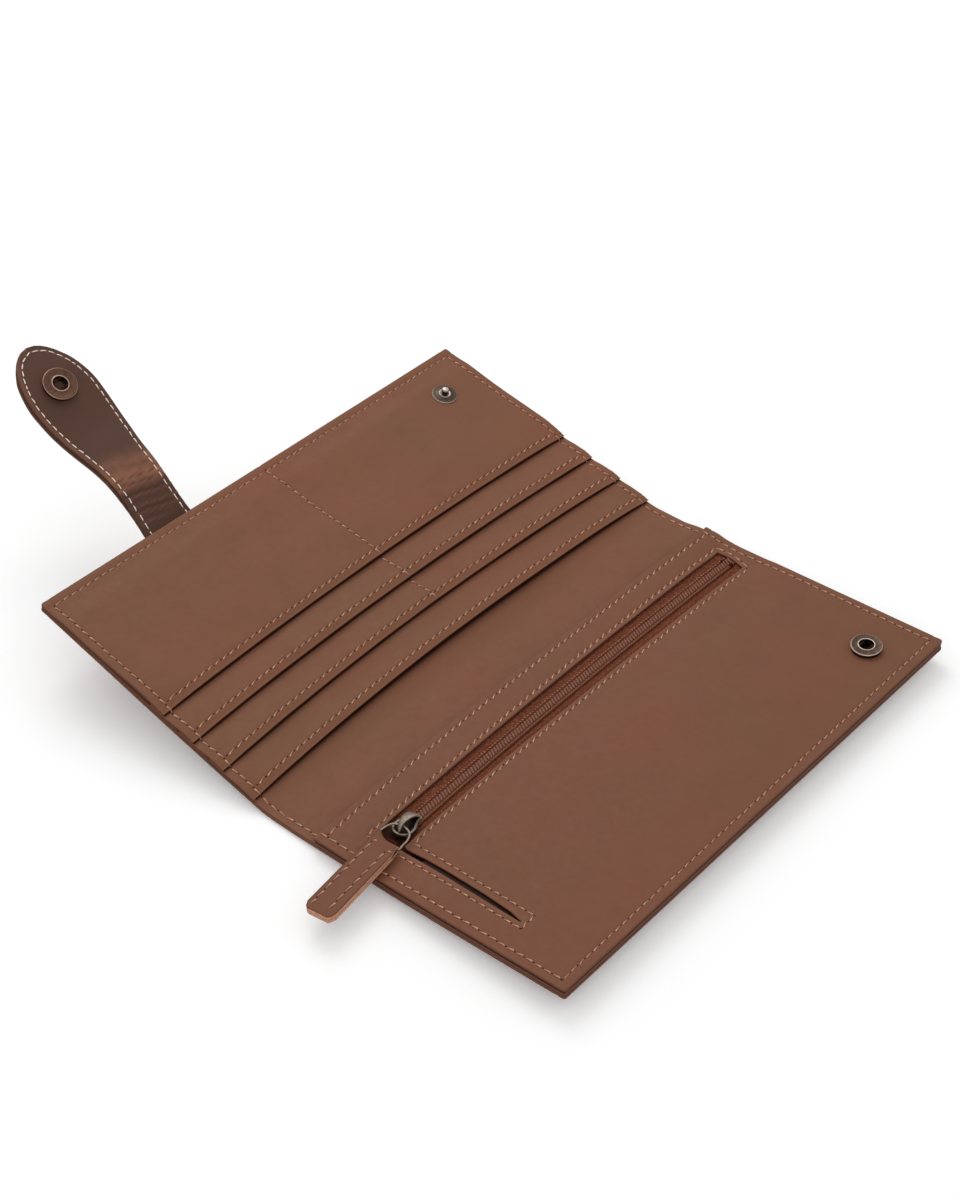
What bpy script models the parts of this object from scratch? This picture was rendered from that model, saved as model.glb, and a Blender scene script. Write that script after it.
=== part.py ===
# A long leather wallet, lying open. One half holds the card slots, the other a zip pocket, and
# a strap with a press snap turns round both when they are folded shut.
# Metres, +Z up. Y runs along the spine, -X towards the card half and +X towards the zip half.
# The origin is the middle of the spine's underside, on the surface that the wallet lies on.

import math

import bmesh
import bpy
from mathutils import Matrix

# Overall sizes
LENGTH = 0.190  # along the spine
HALF_WIDTH = 0.102  # from a fold to the outer edge
SPINE_WIDTH = 0.012  # between the two folds
CARD_RAISE = math.radians(13.3)  # how far the card half stands up as it lies open
CORNER_RADIUS = 0.0025
HALF_LENGTH = LENGTH / 2

# Leather, lining and the air between layers
COVER = 0.0011
LINING = 0.0003
LEAF = 0.0002
STRIP = 0.0009
HEM = 0.0017
PANEL = 0.0010
LAYER_GAP = 0.00015
FOLD_GAP = 0.0003
SEAT_GAP = 0.0003
EDGE_INSET = 0.0004
LEAF_INSET = 0.0020
OVERRUN = 0.0010

# Card half: each pocket edge is one pitch further from the fold than the last
NOTE_EDGE = 0.0050
POCKET_PITCH = 0.0132
HEM_WIDTH = 0.0060
HEM_ROUND = 0.0005
UNDERLAP = 0.0060
SLIP = 0.0006
DROP_RUN = 0.0020
STUD_GROUND = 0.0226  # from the deepest pocket's end to the outer edge, where the stud stands
SEAM_SLOPE = 0.0070
SEAM_FLAT = 0.0050

# Zip half
PANEL_EDGE = 0.00825  # from the fold to the zip panel's inner edge
ZIP_PANEL = 0.0011
PANEL_BORDER = 0.0060  # the turned edge round the zip panel
ZIP_PLACE = 0.0254
ZIP_SKEW = math.radians(0.8)  # the zip is sewn a little askew
WINDOW_HALF = 0.0053
WINDOW_MARGIN = 0.01025  # how far the zip window stays from the wallet's two ends
WINDOW_MIDDLE = 0.0012
WINDOW_LENGTH = LENGTH - 2 * WINDOW_MARGIN
SLIT_LAP = 0.0046  # how far the slit's cut starts inside the window
SLIT_MARGIN = 0.0260  # from the slit's end to the outer edge
SLIT_WIDTH = 0.0017
SLIT_LIFT = 0.00095
SLIT_LEAF_TOP = 0.0100
SLIT_LEAF_SET = 0.0135

# Zip
CHAIN_HALF = 0.0022
CHAIN_BAR = 0.00085
CHAIN_HEIGHT = 0.00115
TOOTH_PITCH = 0.0015
TOOTH_REACH = 0.0009
TOOTH_ROOT = 0.00046
TOOTH_TIP = 0.00062
TAPE = 0.0004
TAPE_HALF = 0.0082
TAPE_SPLIT = 0.0009
TAPE_LAP = 0.0025  # how far the tapes run on past each end of the window
STOP_LENGTH = 0.0011
STOP_HEIGHT = 0.0010
ZIP_GAP = 0.0002

# Slider, bail and pull
SLIDER_MARGIN = 0.00815  # from the window's near end to the middle of the closed slider
SLIDER_LENGTH = 0.0100
SLIDER_HALF = 0.0036
SLIDER_TOP = 0.0008
SLIDER_BASE = 0.0005
FLANGE = 0.0005
FLANGE_GAP = 0.00015
FLANGE_LENGTH = 0.0064
NECK_HALF = 0.0007
NECK_LENGTH = 0.0018
BRIDGE = 0.0006
BRIDGE_WIDE = 0.0017
BRIDGE_NARROW = 0.0008
BRIDGE_LENGTH = 0.0079
BAIL_RADIUS = 0.0004
BAIL_SET = -0.0020
BAIL_SHIFT = 0.0004
BAIL_YAW = math.radians(6.4)
BAIL_HALF = 0.0046
BAIL_CORNER = 0.0008
BAIL_LENGTH = 0.0088
BAIL_ARCH = 0.0042  # how much of its length the arch at its top takes
BAIL_GAP = 0.0002
PULL_LEATHER = 0.00095
PULL_SPLIT = 0.00015
PULL_LENGTH = 0.0330
PULL_EYE_HALF = 0.0039
PULL_TOP_HALF = 0.0048
PULL_TIP_HALF = 0.0050
PULL_CUT = 0.0024
PULL_CUT_SHARE = 0.55
PULL_CLOSE = 0.0040

# Strap
STRAP_PLACE = -0.0386
STRAP_LEATHER = 0.0011
STRAP_HALF = 0.0096
STRAP_WAIST = 0.0093
STRAP_BELLY = 0.01335
STRAP_ROOT = 0.0200
STRAP_SET = 0.0006
RISER_LENGTH = 0.0180
TAB_LENGTH = 0.0592
TAB_SNAP = 0.0420
RISER_RAISE = math.radians(28.7)
TAB_DROP = math.radians(12.7)
# Pairs along one side of the tab: how far along it, and how much of its swell is reached
TAB_SHARES = ((0.20, 0.20), (0.34, 0.55), (0.50, 0.88), (0.64, 1.0), (0.79, 0.65), (0.90, -0.20))

# Press snaps
SNAP_INSET = 0.0166
SNAP_MARGIN = 0.0190
STUD_FLANGE_RADIUS = 0.0045
STUD_FLANGE = 0.0005
STUD_POST = 0.0024
STUD_NECK_RADIUS = 0.0012
STUD_HEAD_RADIUS = 0.0015
STUD_HEAD = 0.0006
SHANK_RADIUS = 0.0009
RIVET_RADIUS = 0.0034
RIVET = 0.00035
SOCKET_RADIUS = 0.0051
SOCKET_HEIGHT = 0.0019
SOCKET_WALL = 0.0010
SOCKET_LIP = 0.00035
SOCKET_HOLE = 0.0024
BARREL_RADIUS = 0.0023
BARREL_BORE = 0.0019
STRAP_SOCKET_RADIUS = 0.0062
STRAP_SOCKET_HOLE = 0.0029
TAB_TILT = 0.0004  # what the strap loses in reach, because its tab hangs at a slant when closed
STRAP_STUD_POST = 0.0020
CAP_RADIUS = 0.0064
CAP_HEIGHT = 0.0014
SPRING_WIRE = 0.0002
SPRING_HALF = 0.0016
SPRING_LEG = 0.0031
SPRING_DEPTH = 0.00055

# Heights over the top of the cover, layer by layer
LINING_BASE = LAYER_GAP
LINING_TOP = LINING_BASE + LINING
NOTE_BASE = LINING_TOP + LAYER_GAP
NOTE_LEAF_TOP = NOTE_BASE + LEAF
LOWER_BASE = NOTE_LEAF_TOP + LAYER_GAP
LOWER_LEAF_TOP = LOWER_BASE + LEAF
UPPER_BASE = LOWER_LEAF_TOP + LAYER_GAP
UPPER_LEAF_TOP = UPPER_BASE + LEAF
CARD_PANEL_BASE = UPPER_LEAF_TOP + LAYER_GAP
CARD_PANEL_TOP = CARD_PANEL_BASE + PANEL
SLIDER_BASE_LOW = LINING_TOP + LAYER_GAP
TAPE_BASE = SLIDER_BASE_LOW + SLIDER_BASE + LAYER_GAP
TAPE_TOP = TAPE_BASE + TAPE
ZIP_PANEL_BASE = TAPE_TOP + LAYER_GAP
ZIP_PANEL_TOP = ZIP_PANEL_BASE + ZIP_PANEL
CHAIN_BASE = TAPE_TOP + LAYER_GAP
CHAIN_TOP = CHAIN_BASE + CHAIN_HEIGHT
SLIDER_TOP_LOW = CHAIN_TOP + LAYER_GAP
SLIDER_TOP_HIGH = SLIDER_TOP_LOW + SLIDER_TOP
BAIL_HEIGHT = SLIDER_TOP_HIGH + SEAT_GAP + BAIL_RADIUS
BRIDGE_LOW = BAIL_HEIGHT + BAIL_RADIUS + BAIL_GAP
STRAP_THICK = 2 * STRAP_LEATHER + LAYER_GAP

# Places that follow from the sizes above
SNAP_PLACE = HALF_WIDTH - SNAP_INSET
SNAP_ALONG = HALF_LENGTH - SNAP_MARGIN
STRAP_STUD_PLACE = HALF_WIDTH - TAB_SNAP + TAB_TILT
SLIDER_PLACE = SLIDER_MARGIN - WINDOW_LENGTH / 2
SLIT_START = ZIP_PLACE + SLIT_LAP
SLIT_END = HALF_WIDTH - SLIT_MARGIN
SLIT_PLACE = WINDOW_MIDDLE - WINDOW_LENGTH / 2 + SLIT_LIFT
TAPE_LENGTH = WINDOW_LENGTH + 2 * TAPE_LAP

# Places of the pocket edges, as distances from the card half's fold
LOWER_EDGE = NOTE_EDGE + POCKET_PITCH
UPPER_EDGE = LOWER_EDGE + POCKET_PITCH
CARD_PANEL_EDGE = UPPER_EDGE + POCKET_PITCH
POCKET_DEPTH = HALF_WIDTH - UPPER_EDGE - STUD_GROUND

MERGE = 0.000002
DRAWN_SCALE = 1000  # outlines are drawn this much larger, because curves fill badly when tiny
ARC_STEPS = 5
ROUND_STEPS = 28


def clear_scene():
    for old in list(bpy.data.objects):
        bpy.data.objects.remove(old)


def new_collection(name):
    made = bpy.data.collections.new(name)
    bpy.context.scene.collection.children.link(made)
    return made


def finish(name, colour, roughness, metallic=0.0):
    made = bpy.data.materials.new(name)
    made.use_nodes = True
    shader = made.node_tree.nodes["Principled BSDF"]
    shader.inputs["Base Color"].default_value = (*colour, 1)
    shader.inputs["Roughness"].default_value = roughness
    shader.inputs["Metallic"].default_value = metallic
    made.diffuse_color = (*colour, 1)
    return made


def pivot(name, place, parent=None, turn=(0, 0, 0)):
    """An empty on a joint's axis. The pieces that move with it are modelled from there."""
    made = bpy.data.objects.new(name, None)
    made.empty_display_size = COVER
    made.location = place
    made.rotation_euler = turn
    made.parent = parent
    parts.objects.link(made)
    return made


def add(name, mesh, look, carrier, place=(0, 0, 0), turn=(0, 0, 0)):
    made = bpy.data.objects.new(name, mesh)
    made.location = place
    made.rotation_euler = turn
    made.parent = carrier
    if look is None:
        made.hide_render = True
        made.display_type = "WIRE"
        cutters.objects.link(made)
    else:
        mesh.materials.clear()
        mesh.materials.append(look)
        parts.objects.link(made)
    return made


def cut(piece, cutter, operation="DIFFERENCE"):
    step = piece.modifiers.new(cutter.name, "BOOLEAN")
    step.operation = operation
    step.object = cutter


def mesh_of(maker, drawn_scale=1):
    """The closed mesh of a curve or of an object with modifiers, which is removed."""
    parts.objects.link(maker)
    bpy.context.view_layer.update()
    graph = bpy.context.evaluated_depsgraph_get()
    mesh = bpy.data.meshes.new_from_object(maker.evaluated_get(graph))
    mesh.transform(Matrix.Scale(1 / drawn_scale, 4))
    form = bmesh.new()
    form.from_mesh(mesh)
    bmesh.ops.remove_doubles(form, verts=form.verts, dist=MERGE)
    form.to_mesh(mesh)
    form.free()
    bpy.data.objects.remove(maker)
    return mesh


def outline_curve(points, thickness, kind="POLY"):
    curve = bpy.data.curves.new("outline", "CURVE")
    curve.dimensions = "2D"
    curve.fill_mode = "BOTH"
    curve.extrude = thickness / 2 * DRAWN_SCALE
    line = curve.splines.new(kind)
    line.use_cyclic_u = True
    if kind == "POLY":
        line.points.add(len(points) - 1)
        for knot, (x, y) in zip(line.points, points):
            knot.co = (x * DRAWN_SCALE, y * DRAWN_SCALE, 0, 1)
    else:
        curve.resolution_u = ARC_STEPS
        line.bezier_points.add(len(points) - 1)
        for knot, (x, y, handle) in zip(line.bezier_points, points):
            knot.co = (x * DRAWN_SCALE, y * DRAWN_SCALE, 0)
            knot.handle_left_type = handle
            knot.handle_right_type = handle
    return bpy.data.objects.new("outline", curve)


def plate(points, low, high, kind="POLY"):
    """A flat outline in X and Y, from one height to another."""
    mesh = mesh_of(outline_curve(points, high - low, kind), DRAWN_SCALE)
    mesh.transform(Matrix.Translation((0, 0, (low + high) / 2)))
    return mesh


def sheet(section, half_length):
    """A section in X and Z, run along Y to both sides."""
    mesh = mesh_of(outline_curve(section, 2 * half_length), DRAWN_SCALE)
    mesh.transform(Matrix.Rotation(math.radians(90), 4, "X"))
    return mesh


def mirrored(section):
    return [(-x, z) for x, z in section]


def box_outline(left, right, near, far):
    return [(left, near), (right, near), (right, far), (left, far)]


def arc(centre, radius, start, end, steps=ARC_STEPS):
    """Points along part of a circle, with angles in degrees."""
    turns = [math.radians(start + (end - start) * n / steps) for n in range(steps + 1)]
    return [(centre[0] + radius * math.cos(a), centre[1] + radius * math.sin(a)) for a in turns]


def half_outline(start, end, half_length, side):
    """A half of the wallet from its fold to its outer edge, whose two corners are round."""
    in_x = end - CORNER_RADIUS
    in_y = half_length - CORNER_RADIUS
    points = [(start, -half_length)]
    points += arc((in_x, -in_y), CORNER_RADIUS, -90, 0)
    points += arc((in_x, in_y), CORNER_RADIUS, 0, 90)
    points += [(start, half_length)]
    return [(side * x, y) for x, y in points]


def turned(profile, steps=ROUND_STEPS):
    """A profile of (radius, height), from the top down its outer side, spun about Z."""
    mesh = bpy.data.meshes.new("profile")
    closed = profile[0][0] > 0
    lines = [(n, n + 1) for n in range(len(profile) - 1)]
    if closed:
        lines += [(len(profile) - 1, 0)]
    mesh.from_pydata([(r, 0, z) for r, z in profile], lines, [])
    maker = bpy.data.objects.new("profile", mesh)
    spin = maker.modifiers.new("spin", "SCREW")
    spin.steps = steps
    spin.render_steps = steps
    spin.use_merge_vertices = True
    spin.merge_threshold = MERGE
    made = mesh_of(maker)
    made.shade_smooth()
    made.set_sharp_from_angle(angle=math.radians(35))
    return made


def wire(points, radius, cyclic, bevel_resolution=2):
    curve = bpy.data.curves.new("wire", "CURVE")
    curve.dimensions = "3D"
    curve.bevel_depth = radius
    curve.bevel_resolution = bevel_resolution
    curve.use_fill_caps = not cyclic
    line = curve.splines.new("POLY")
    line.use_cyclic_u = cyclic
    line.points.add(len(points) - 1)
    for knot, point in zip(line.points, points):
        knot.co = (*point, 1)
    made = mesh_of(bpy.data.objects.new("wire", curve))
    made.shade_smooth()
    return made


def drum(name, carrier, place, radius, low, high):
    """A round cutter that stands on its carrier's XY plane."""
    profile = [(0, high), (radius, high), (radius, low), (0, low)]
    return add(name, turned(profile), None, carrier, place)


# Spine


def make_spine():
    edge = SPINE_WIDTH / 2 - FOLD_GAP / 2
    outline = box_outline(-edge, edge, -HALF_LENGTH, HALF_LENGTH)
    add("cover_spine", plate(outline, 0, COVER), leather, None)
    edge = SPINE_WIDTH / 2 - LINING_TOP - FOLD_GAP
    outline = box_outline(-edge, edge, -HALF_LENGTH + EDGE_INSET, HALF_LENGTH - EDGE_INSET)
    mesh = plate(outline, COVER + LINING_BASE, COVER + LINING_TOP)
    add("lining_spine", mesh, lining, None)


# Card half, modelled flat from the fold towards -X


def make_card_covers():
    outline = half_outline(FOLD_GAP / 2, HALF_WIDTH, HALF_LENGTH, -1)
    add("cover_card", plate(outline, -COVER, 0), leather, card)
    outline = half_outline(
        LINING_TOP + FOLD_GAP, HALF_WIDTH - EDGE_INSET, HALF_LENGTH - EDGE_INSET, -1
    )
    add("lining_card", plate(outline, LINING_BASE, LINING_TOP), lining, card)


def strip_section(edge, base, last, low_base=None, drop_at=None):
    """A pocket's leather strip: a thick turned hem at its edge, then a single layer that steps
    down behind the strip under it."""
    hem_end = edge + HEM_WIDTH
    top = base + HEM
    under = [(edge, base)]
    over = [(edge, top - HEM_ROUND), (edge + HEM_ROUND, top), (hem_end, top)]
    if low_base is None:
        under += [(last, base)]
        over += [(hem_end + HEM_ROUND, base + STRIP), (last, base + STRIP)]
    else:
        under += [(drop_at, base), (drop_at + DROP_RUN, low_base), (last, low_base)]
        over += [(drop_at + SLIP, base + STRIP)]
        over += [(drop_at + DROP_RUN + SLIP, low_base + STRIP), (last, low_base + STRIP)]
    return mirrored(under + over[::-1])


def add_leaf(name, start, end, base):
    half = HALF_LENGTH - LEAF_INSET
    outline = box_outline(-end, -start, -half, half)
    add(name, plate(outline, base, base + LEAF), cloth, card)


def make_pockets():
    note_last = LOWER_EDGE + UNDERLAP
    lower_last = UPPER_EDGE + UNDERLAP
    upper_last = CARD_PANEL_EDGE + UNDERLAP
    section = strip_section(NOTE_EDGE, NOTE_BASE, note_last)
    add("note_pocket_strip", sheet(section, HALF_LENGTH), leather, card)
    base = NOTE_BASE + STRIP + LAYER_GAP
    section = strip_section(LOWER_EDGE, base, lower_last, LOWER_BASE, note_last + SLIP)
    add("lower_card_strip", sheet(section, HALF_LENGTH), leather, card)
    base = LOWER_BASE + STRIP + LAYER_GAP
    section = strip_section(UPPER_EDGE, base, upper_last, UPPER_BASE, lower_last + SLIP)
    add("upper_card_strip", sheet(section, HALF_LENGTH), leather, card)
    add_leaf("note_pocket_leaf", note_last + SEAT_GAP, HALF_WIDTH - LEAF_INSET, NOTE_BASE)
    add_leaf("lower_card_leaf", lower_last + SEAT_GAP, LOWER_EDGE + POCKET_DEPTH, LOWER_BASE)
    add_leaf("upper_card_leaf", upper_last + SEAT_GAP, UPPER_EDGE + POCKET_DEPTH, UPPER_BASE)


def make_card_panel():
    """The panel over the last card slots falls from its hem to the thin outer seam."""
    base = UPPER_BASE + STRIP + LAYER_GAP
    behind = CARD_PANEL_EDGE + UNDERLAP + SLIP
    rest = UPPER_EDGE + POCKET_DEPTH + SLIP
    seam = HALF_WIDTH - SEAM_FLAT
    under = [
        (CARD_PANEL_EDGE, base),
        (behind, base),
        (rest, CARD_PANEL_BASE),
        (seam - SEAM_SLOPE, CARD_PANEL_BASE),
        (seam, LOWER_BASE),
        (HALF_WIDTH, LOWER_BASE),
    ]
    over = [
        (CARD_PANEL_EDGE, base + HEM - HEM_ROUND),
        (CARD_PANEL_EDGE + HEM_ROUND, base + HEM),
        (CARD_PANEL_EDGE + HEM_WIDTH, base + HEM),
        (behind + HEM_ROUND, base + PANEL),
        (rest, CARD_PANEL_TOP),
        (seam - SEAM_SLOPE, CARD_PANEL_TOP),
        (seam, LOWER_BASE + PANEL),
        (HALF_WIDTH, LOWER_BASE + PANEL),
    ]
    panel = add("card_panel", sheet(mirrored(under + over[::-1]), HALF_LENGTH), leather, card)
    outline = half_outline(CARD_PANEL_EDGE - OVERRUN, HALF_WIDTH, HALF_LENGTH, -1)
    trim = add("card_panel_trim", plate(outline, 0, base + HEM + OVERRUN), None, card)
    cut(panel, trim, "INTERSECT")
    place = (-SNAP_PLACE, SNAP_ALONG, 0)
    hole = SHANK_RADIUS + LAYER_GAP
    cut(panel, drum("card_panel_hole", card, place, hole, 0, CARD_PANEL_TOP + OVERRUN))


# Press snaps. A stud's profile starts at the leather that it stands on.


def stud_mesh(post, shank, flange_radius=STUD_FLANGE_RADIUS):
    seat = LAYER_GAP
    flange_top = seat + STUD_FLANGE
    tip = flange_top + post
    head_edge = STUD_HEAD / 3
    profile = [
        (0, tip),
        (STUD_NECK_RADIUS, tip),
        (STUD_HEAD_RADIUS, tip - head_edge),
        (STUD_HEAD_RADIUS, tip - 2 * head_edge),
        (STUD_NECK_RADIUS, tip - STUD_HEAD),
        (STUD_NECK_RADIUS, flange_top + STUD_FLANGE),
        (STUD_HEAD_RADIUS + STUD_FLANGE, flange_top),
        (flange_radius - STUD_FLANGE, flange_top),
        (flange_radius, flange_top - STUD_FLANGE / 2),
        (flange_radius, seat),
        (SHANK_RADIUS, seat),
        (SHANK_RADIUS, -shank),
        (0, -shank),
    ]
    return turned(profile)


def ring_mesh(bore, radius, low, high):
    profile = [(bore, high), (radius, high), (radius, low), (bore, low)]
    return turned(profile)


def socket_mesh(radius, hole, barrel):
    """A snap ring: a rounded washer with a lip round its hole, a hollow for the spring, and a
    barrel that goes down through the leather."""
    seat = LAYER_GAP
    top = seat + SOCKET_HEIGHT
    floor = seat + SOCKET_LIP
    hollow = radius - SOCKET_WALL
    roof = top - SOCKET_LIP
    profile = [
        (hole, top),
        (radius - SOCKET_LIP * 2, top),
        (radius - SOCKET_LIP / 2, roof),
        (radius, top - SOCKET_HEIGHT / 2),
        (radius, floor),
        (radius - SOCKET_LIP, seat),
        (BARREL_RADIUS, seat),
        (BARREL_RADIUS, -barrel),
        (BARREL_BORE, -barrel),
        (BARREL_BORE, floor),
        (hollow, floor),
        (hollow, roof),
        (hole, roof),
    ]
    return turned(profile)


def spring_mesh():
    """A hairpin of spring wire, whose two legs grip the stud's neck."""
    height = LAYER_GAP + SOCKET_HEIGHT - SPRING_DEPTH
    bend = SPRING_LEG - SPRING_HALF / 2
    legs = [(-SPRING_HALF, -SPRING_LEG)]
    legs += arc((0, bend - SPRING_HALF / 2), SPRING_HALF, 180, 0, 2 * ARC_STEPS)
    legs += [(SPRING_HALF, -SPRING_LEG)]
    return wire([(x, y, height) for x, y in legs], SPRING_WIRE, False, 1)


def make_closure_stud():
    base = (-SNAP_PLACE, SNAP_ALONG, CARD_PANEL_TOP)
    under = CARD_PANEL_TOP - LOWER_BASE
    add("closure_stud", stud_mesh(STUD_POST, under), snap_metal, card, base)
    low = LOWER_BASE
    mesh = ring_mesh(SHANK_RADIUS + LAYER_GAP, RIVET_RADIUS, low, low + RIVET)
    add("closure_stud_back", mesh, snap_metal, card, (-SNAP_PLACE, SNAP_ALONG, 0))


# Zip half, modelled flat from the fold towards +X


def make_zip_covers():
    outline = half_outline(FOLD_GAP / 2, HALF_WIDTH, HALF_LENGTH, 1)
    cover = add("cover_zip", plate(outline, -COVER, 0), leather, zip_half)
    outline = half_outline(
        LINING_TOP + FOLD_GAP, HALF_WIDTH - EDGE_INSET, HALF_LENGTH - EDGE_INSET, 1
    )
    mesh = plate(outline, LINING_BASE, LINING_TOP)
    back = add("zip_pocket_back", mesh, lining, zip_half)
    place = (STRAP_STUD_PLACE, STRAP_PLACE, 0)
    hole = SHANK_RADIUS + LAYER_GAP
    cutter = drum("stud_hole", zip_half, place, hole, -COVER - OVERRUN, LINING_TOP + OVERRUN)
    cut(cover, cutter)
    cut(back, cutter)


def make_zip_panel():
    """The panel is open to below inside its turned border, and has the window and the slit."""
    outline = half_outline(PANEL_EDGE, HALF_WIDTH, HALF_LENGTH, 1)
    panel = add("zip_panel", plate(outline, SLIDER_BASE_LOW, ZIP_PANEL_TOP), leather, zip_half)
    inner = HALF_LENGTH - PANEL_BORDER
    outline = box_outline(PANEL_EDGE + PANEL_BORDER, HALF_WIDTH - PANEL_BORDER, -inner, inner)
    mesh = plate(outline, SLIDER_BASE_LOW - OVERRUN, ZIP_PANEL_BASE)
    cut(panel, add("panel_hollow", mesh, None, zip_half))
    above = ZIP_PANEL_TOP + OVERRUN
    end = WINDOW_LENGTH / 2
    outline = box_outline(-WINDOW_HALF, WINDOW_HALF, -end, end)
    cut(panel, add("panel_window", plate(outline, TAPE_TOP, above), None, zip_line))
    half = SLIT_WIDTH / 2
    outline = [
        (SLIT_START, SLIT_PLACE - half),
        (SLIT_END, SLIT_PLACE - half / 2),
        (SLIT_END + half, SLIT_PLACE),
        (SLIT_END, SLIT_PLACE + half / 2),
        (SLIT_START, SLIT_PLACE + half),
    ]
    cut(panel, add("panel_slit", plate(outline, TAPE_TOP, above), None, zip_half))
    place = (SNAP_PLACE, SNAP_ALONG, 0)
    cut(panel, drum("panel_hole", zip_half, place, BARREL_RADIUS + LAYER_GAP, TAPE_TOP, above))


def make_slit_leaf():
    inner = HALF_LENGTH - PANEL_BORDER - SEAT_GAP
    outline = box_outline(
        ZIP_PLACE + SLIT_LEAF_SET, HALF_WIDTH - PANEL_BORDER - SEAT_GAP, -inner, SLIT_LEAF_TOP
    )
    top = ZIP_PANEL_BASE - LAYER_GAP
    add("slit_pocket_leaf", plate(outline, top - LEAF, top), cloth, zip_half)


def make_tapes():
    for name, side in (("zip_tape_left", -1), ("zip_tape_right", 1)):
        edges = sorted((side * TAPE_SPLIT, side * TAPE_HALF))
        outline = box_outline(*edges, -TAPE_LENGTH / 2, TAPE_LENGTH / 2)
        add(name, plate(outline, TAPE_BASE, TAPE_TOP), tape, zip_line)


def chain_outline(side, near, far):
    """One row of teeth on its bar. The teeth of the two rows stand half a pitch apart."""
    bar_in = CHAIN_BAR - CHAIN_HALF
    count = int((far - near) / TOOTH_PITCH)
    start = near + TOOTH_PITCH * (2 - side) / 4
    points = [(-CHAIN_HALF, near), (bar_in, near)]
    for n in range(count):
        y = start + n * TOOTH_PITCH
        points += [(bar_in, y - TOOTH_ROOT / 2), (TOOTH_REACH, y - TOOTH_TIP / 2)]
        points += [(TOOTH_REACH, y + TOOTH_TIP / 2), (bar_in, y + TOOTH_ROOT / 2)]
    end = near + (count + 1 / 2) * TOOTH_PITCH
    points += [(bar_in, end), (-CHAIN_HALF, end)]
    return [(-side * x, y) for x, y in points]


def comb(points, low, high):
    """One many-sided face made solid, for an outline that is too long to fill as a curve."""
    mesh = bpy.data.meshes.new("comb")
    mesh.from_pydata([(x, y, low) for x, y in points], [], [range(len(points))])
    maker = bpy.data.objects.new("comb", mesh)
    body = maker.modifiers.new("body", "SOLIDIFY")
    body.thickness = high - low
    body.offset = 1 if mesh.polygons[0].normal.z > 0 else -1
    return mesh_of(maker)


def make_chain():
    end = WINDOW_LENGTH / 2 - SEAT_GAP
    far = end - STOP_LENGTH - 2 * SEAT_GAP
    for name, side in (("zip_chain_left", -1), ("zip_chain_right", 1)):
        outline = chain_outline(side, SLIDER_PLACE, far)
        add(name, comb(outline, CHAIN_BASE, CHAIN_TOP), teeth, zip_line)
    for name, start in (("zip_stop_closed", -end), ("zip_stop_open", end - STOP_LENGTH)):
        outline = box_outline(-CHAIN_HALF, CHAIN_HALF, start, start + STOP_LENGTH)
        mesh = plate(outline, CHAIN_BASE, CHAIN_BASE + STOP_HEIGHT)
        add(name, mesh, tape, zip_line)


def make_closure_socket():
    barrel = ZIP_PANEL + 2 * LAYER_GAP + RIVET
    base = (SNAP_PLACE, SNAP_ALONG, ZIP_PANEL_TOP)
    add("closure_socket", socket_mesh(SOCKET_RADIUS, SOCKET_HOLE, barrel), snap_metal, zip_half, base)
    add("closure_spring", spring_mesh(), spring_metal, zip_half, base)
    top = ZIP_PANEL_BASE - LAYER_GAP
    mesh = ring_mesh(BARREL_RADIUS + LAYER_GAP, STUD_FLANGE_RADIUS, top - RIVET, top)
    add("closure_socket_back", mesh, snap_metal, zip_half, (SNAP_PLACE, SNAP_ALONG, 0))


def make_strap_stud():
    """The stud that the strap snaps on, outside on the cover, with its rivet in the pocket."""
    shank = COVER + LINING_TOP + LAYER_GAP + RIVET
    base = (STRAP_STUD_PLACE, STRAP_PLACE, -COVER)
    turn = (math.radians(180), 0, 0)
    mesh = stud_mesh(STRAP_STUD_POST, shank)
    add("strap_stud", mesh, snap_metal, zip_half, base, turn)
    low = LINING_TOP + LAYER_GAP
    mesh = ring_mesh(SHANK_RADIUS + LAYER_GAP, RIVET_RADIUS, low, low + RIVET)
    add("strap_stud_back", mesh, snap_metal, zip_half, (STRAP_STUD_PLACE, STRAP_PLACE, 0))


# Slider, bail and pull


def slider_outline(half, length):
    """A slider plate: a narrow tail at the far end, wide shoulders, and a rounded nose."""
    end = length / 2
    right = [
        (half * 0.80, end, "VECTOR"),
        (half * 0.80, end * 0.50, "AUTO"),
        (half * 0.96, 0, "AUTO"),
        (half, -end * 0.40, "AUTO"),
        (half * 0.66, -end * 0.88, "AUTO"),
    ]
    nose = [(0, -end, "AUTO")]
    return right + nose + [(-x, y, handle) for x, y, handle in right[::-1]]


def make_slider():
    outline = slider_outline(SLIDER_HALF, SLIDER_LENGTH)
    mesh = plate(outline, SLIDER_TOP_LOW, SLIDER_TOP_HIGH, "BEZIER")
    body = add("slider_body", mesh, slider_metal, slider)
    inside = SLIDER_TOP_LOW + SLIDER_TOP / 2
    mesh = plate(outline, SLIDER_BASE_LOW, SLIDER_BASE_LOW + SLIDER_BASE, "BEZIER")
    cut(body, add("slider_base", mesh, None, slider), "UNION")
    for side in (-1, 1):
        inner = CHAIN_HALF + FLANGE_GAP
        edges = sorted((side * inner, side * (inner + FLANGE)))
        flange = box_outline(*edges, -FLANGE_LENGTH / 2, FLANGE_LENGTH / 2)
        mesh = plate(flange, TAPE_TOP + ZIP_GAP, inside)
        cut(body, add(f"slider_flange_{side}", mesh, None, slider), "UNION")
    near = -SLIDER_LENGTH / 2 + BRIDGE
    neck = box_outline(-NECK_HALF, NECK_HALF, near, near + NECK_LENGTH)
    mesh = plate(neck, SLIDER_BASE_LOW + SLIDER_BASE / 2, inside)
    cut(body, add("slider_neck", mesh, None, slider), "UNION")
    cut(body, make_bridge(inside), "UNION")


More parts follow.
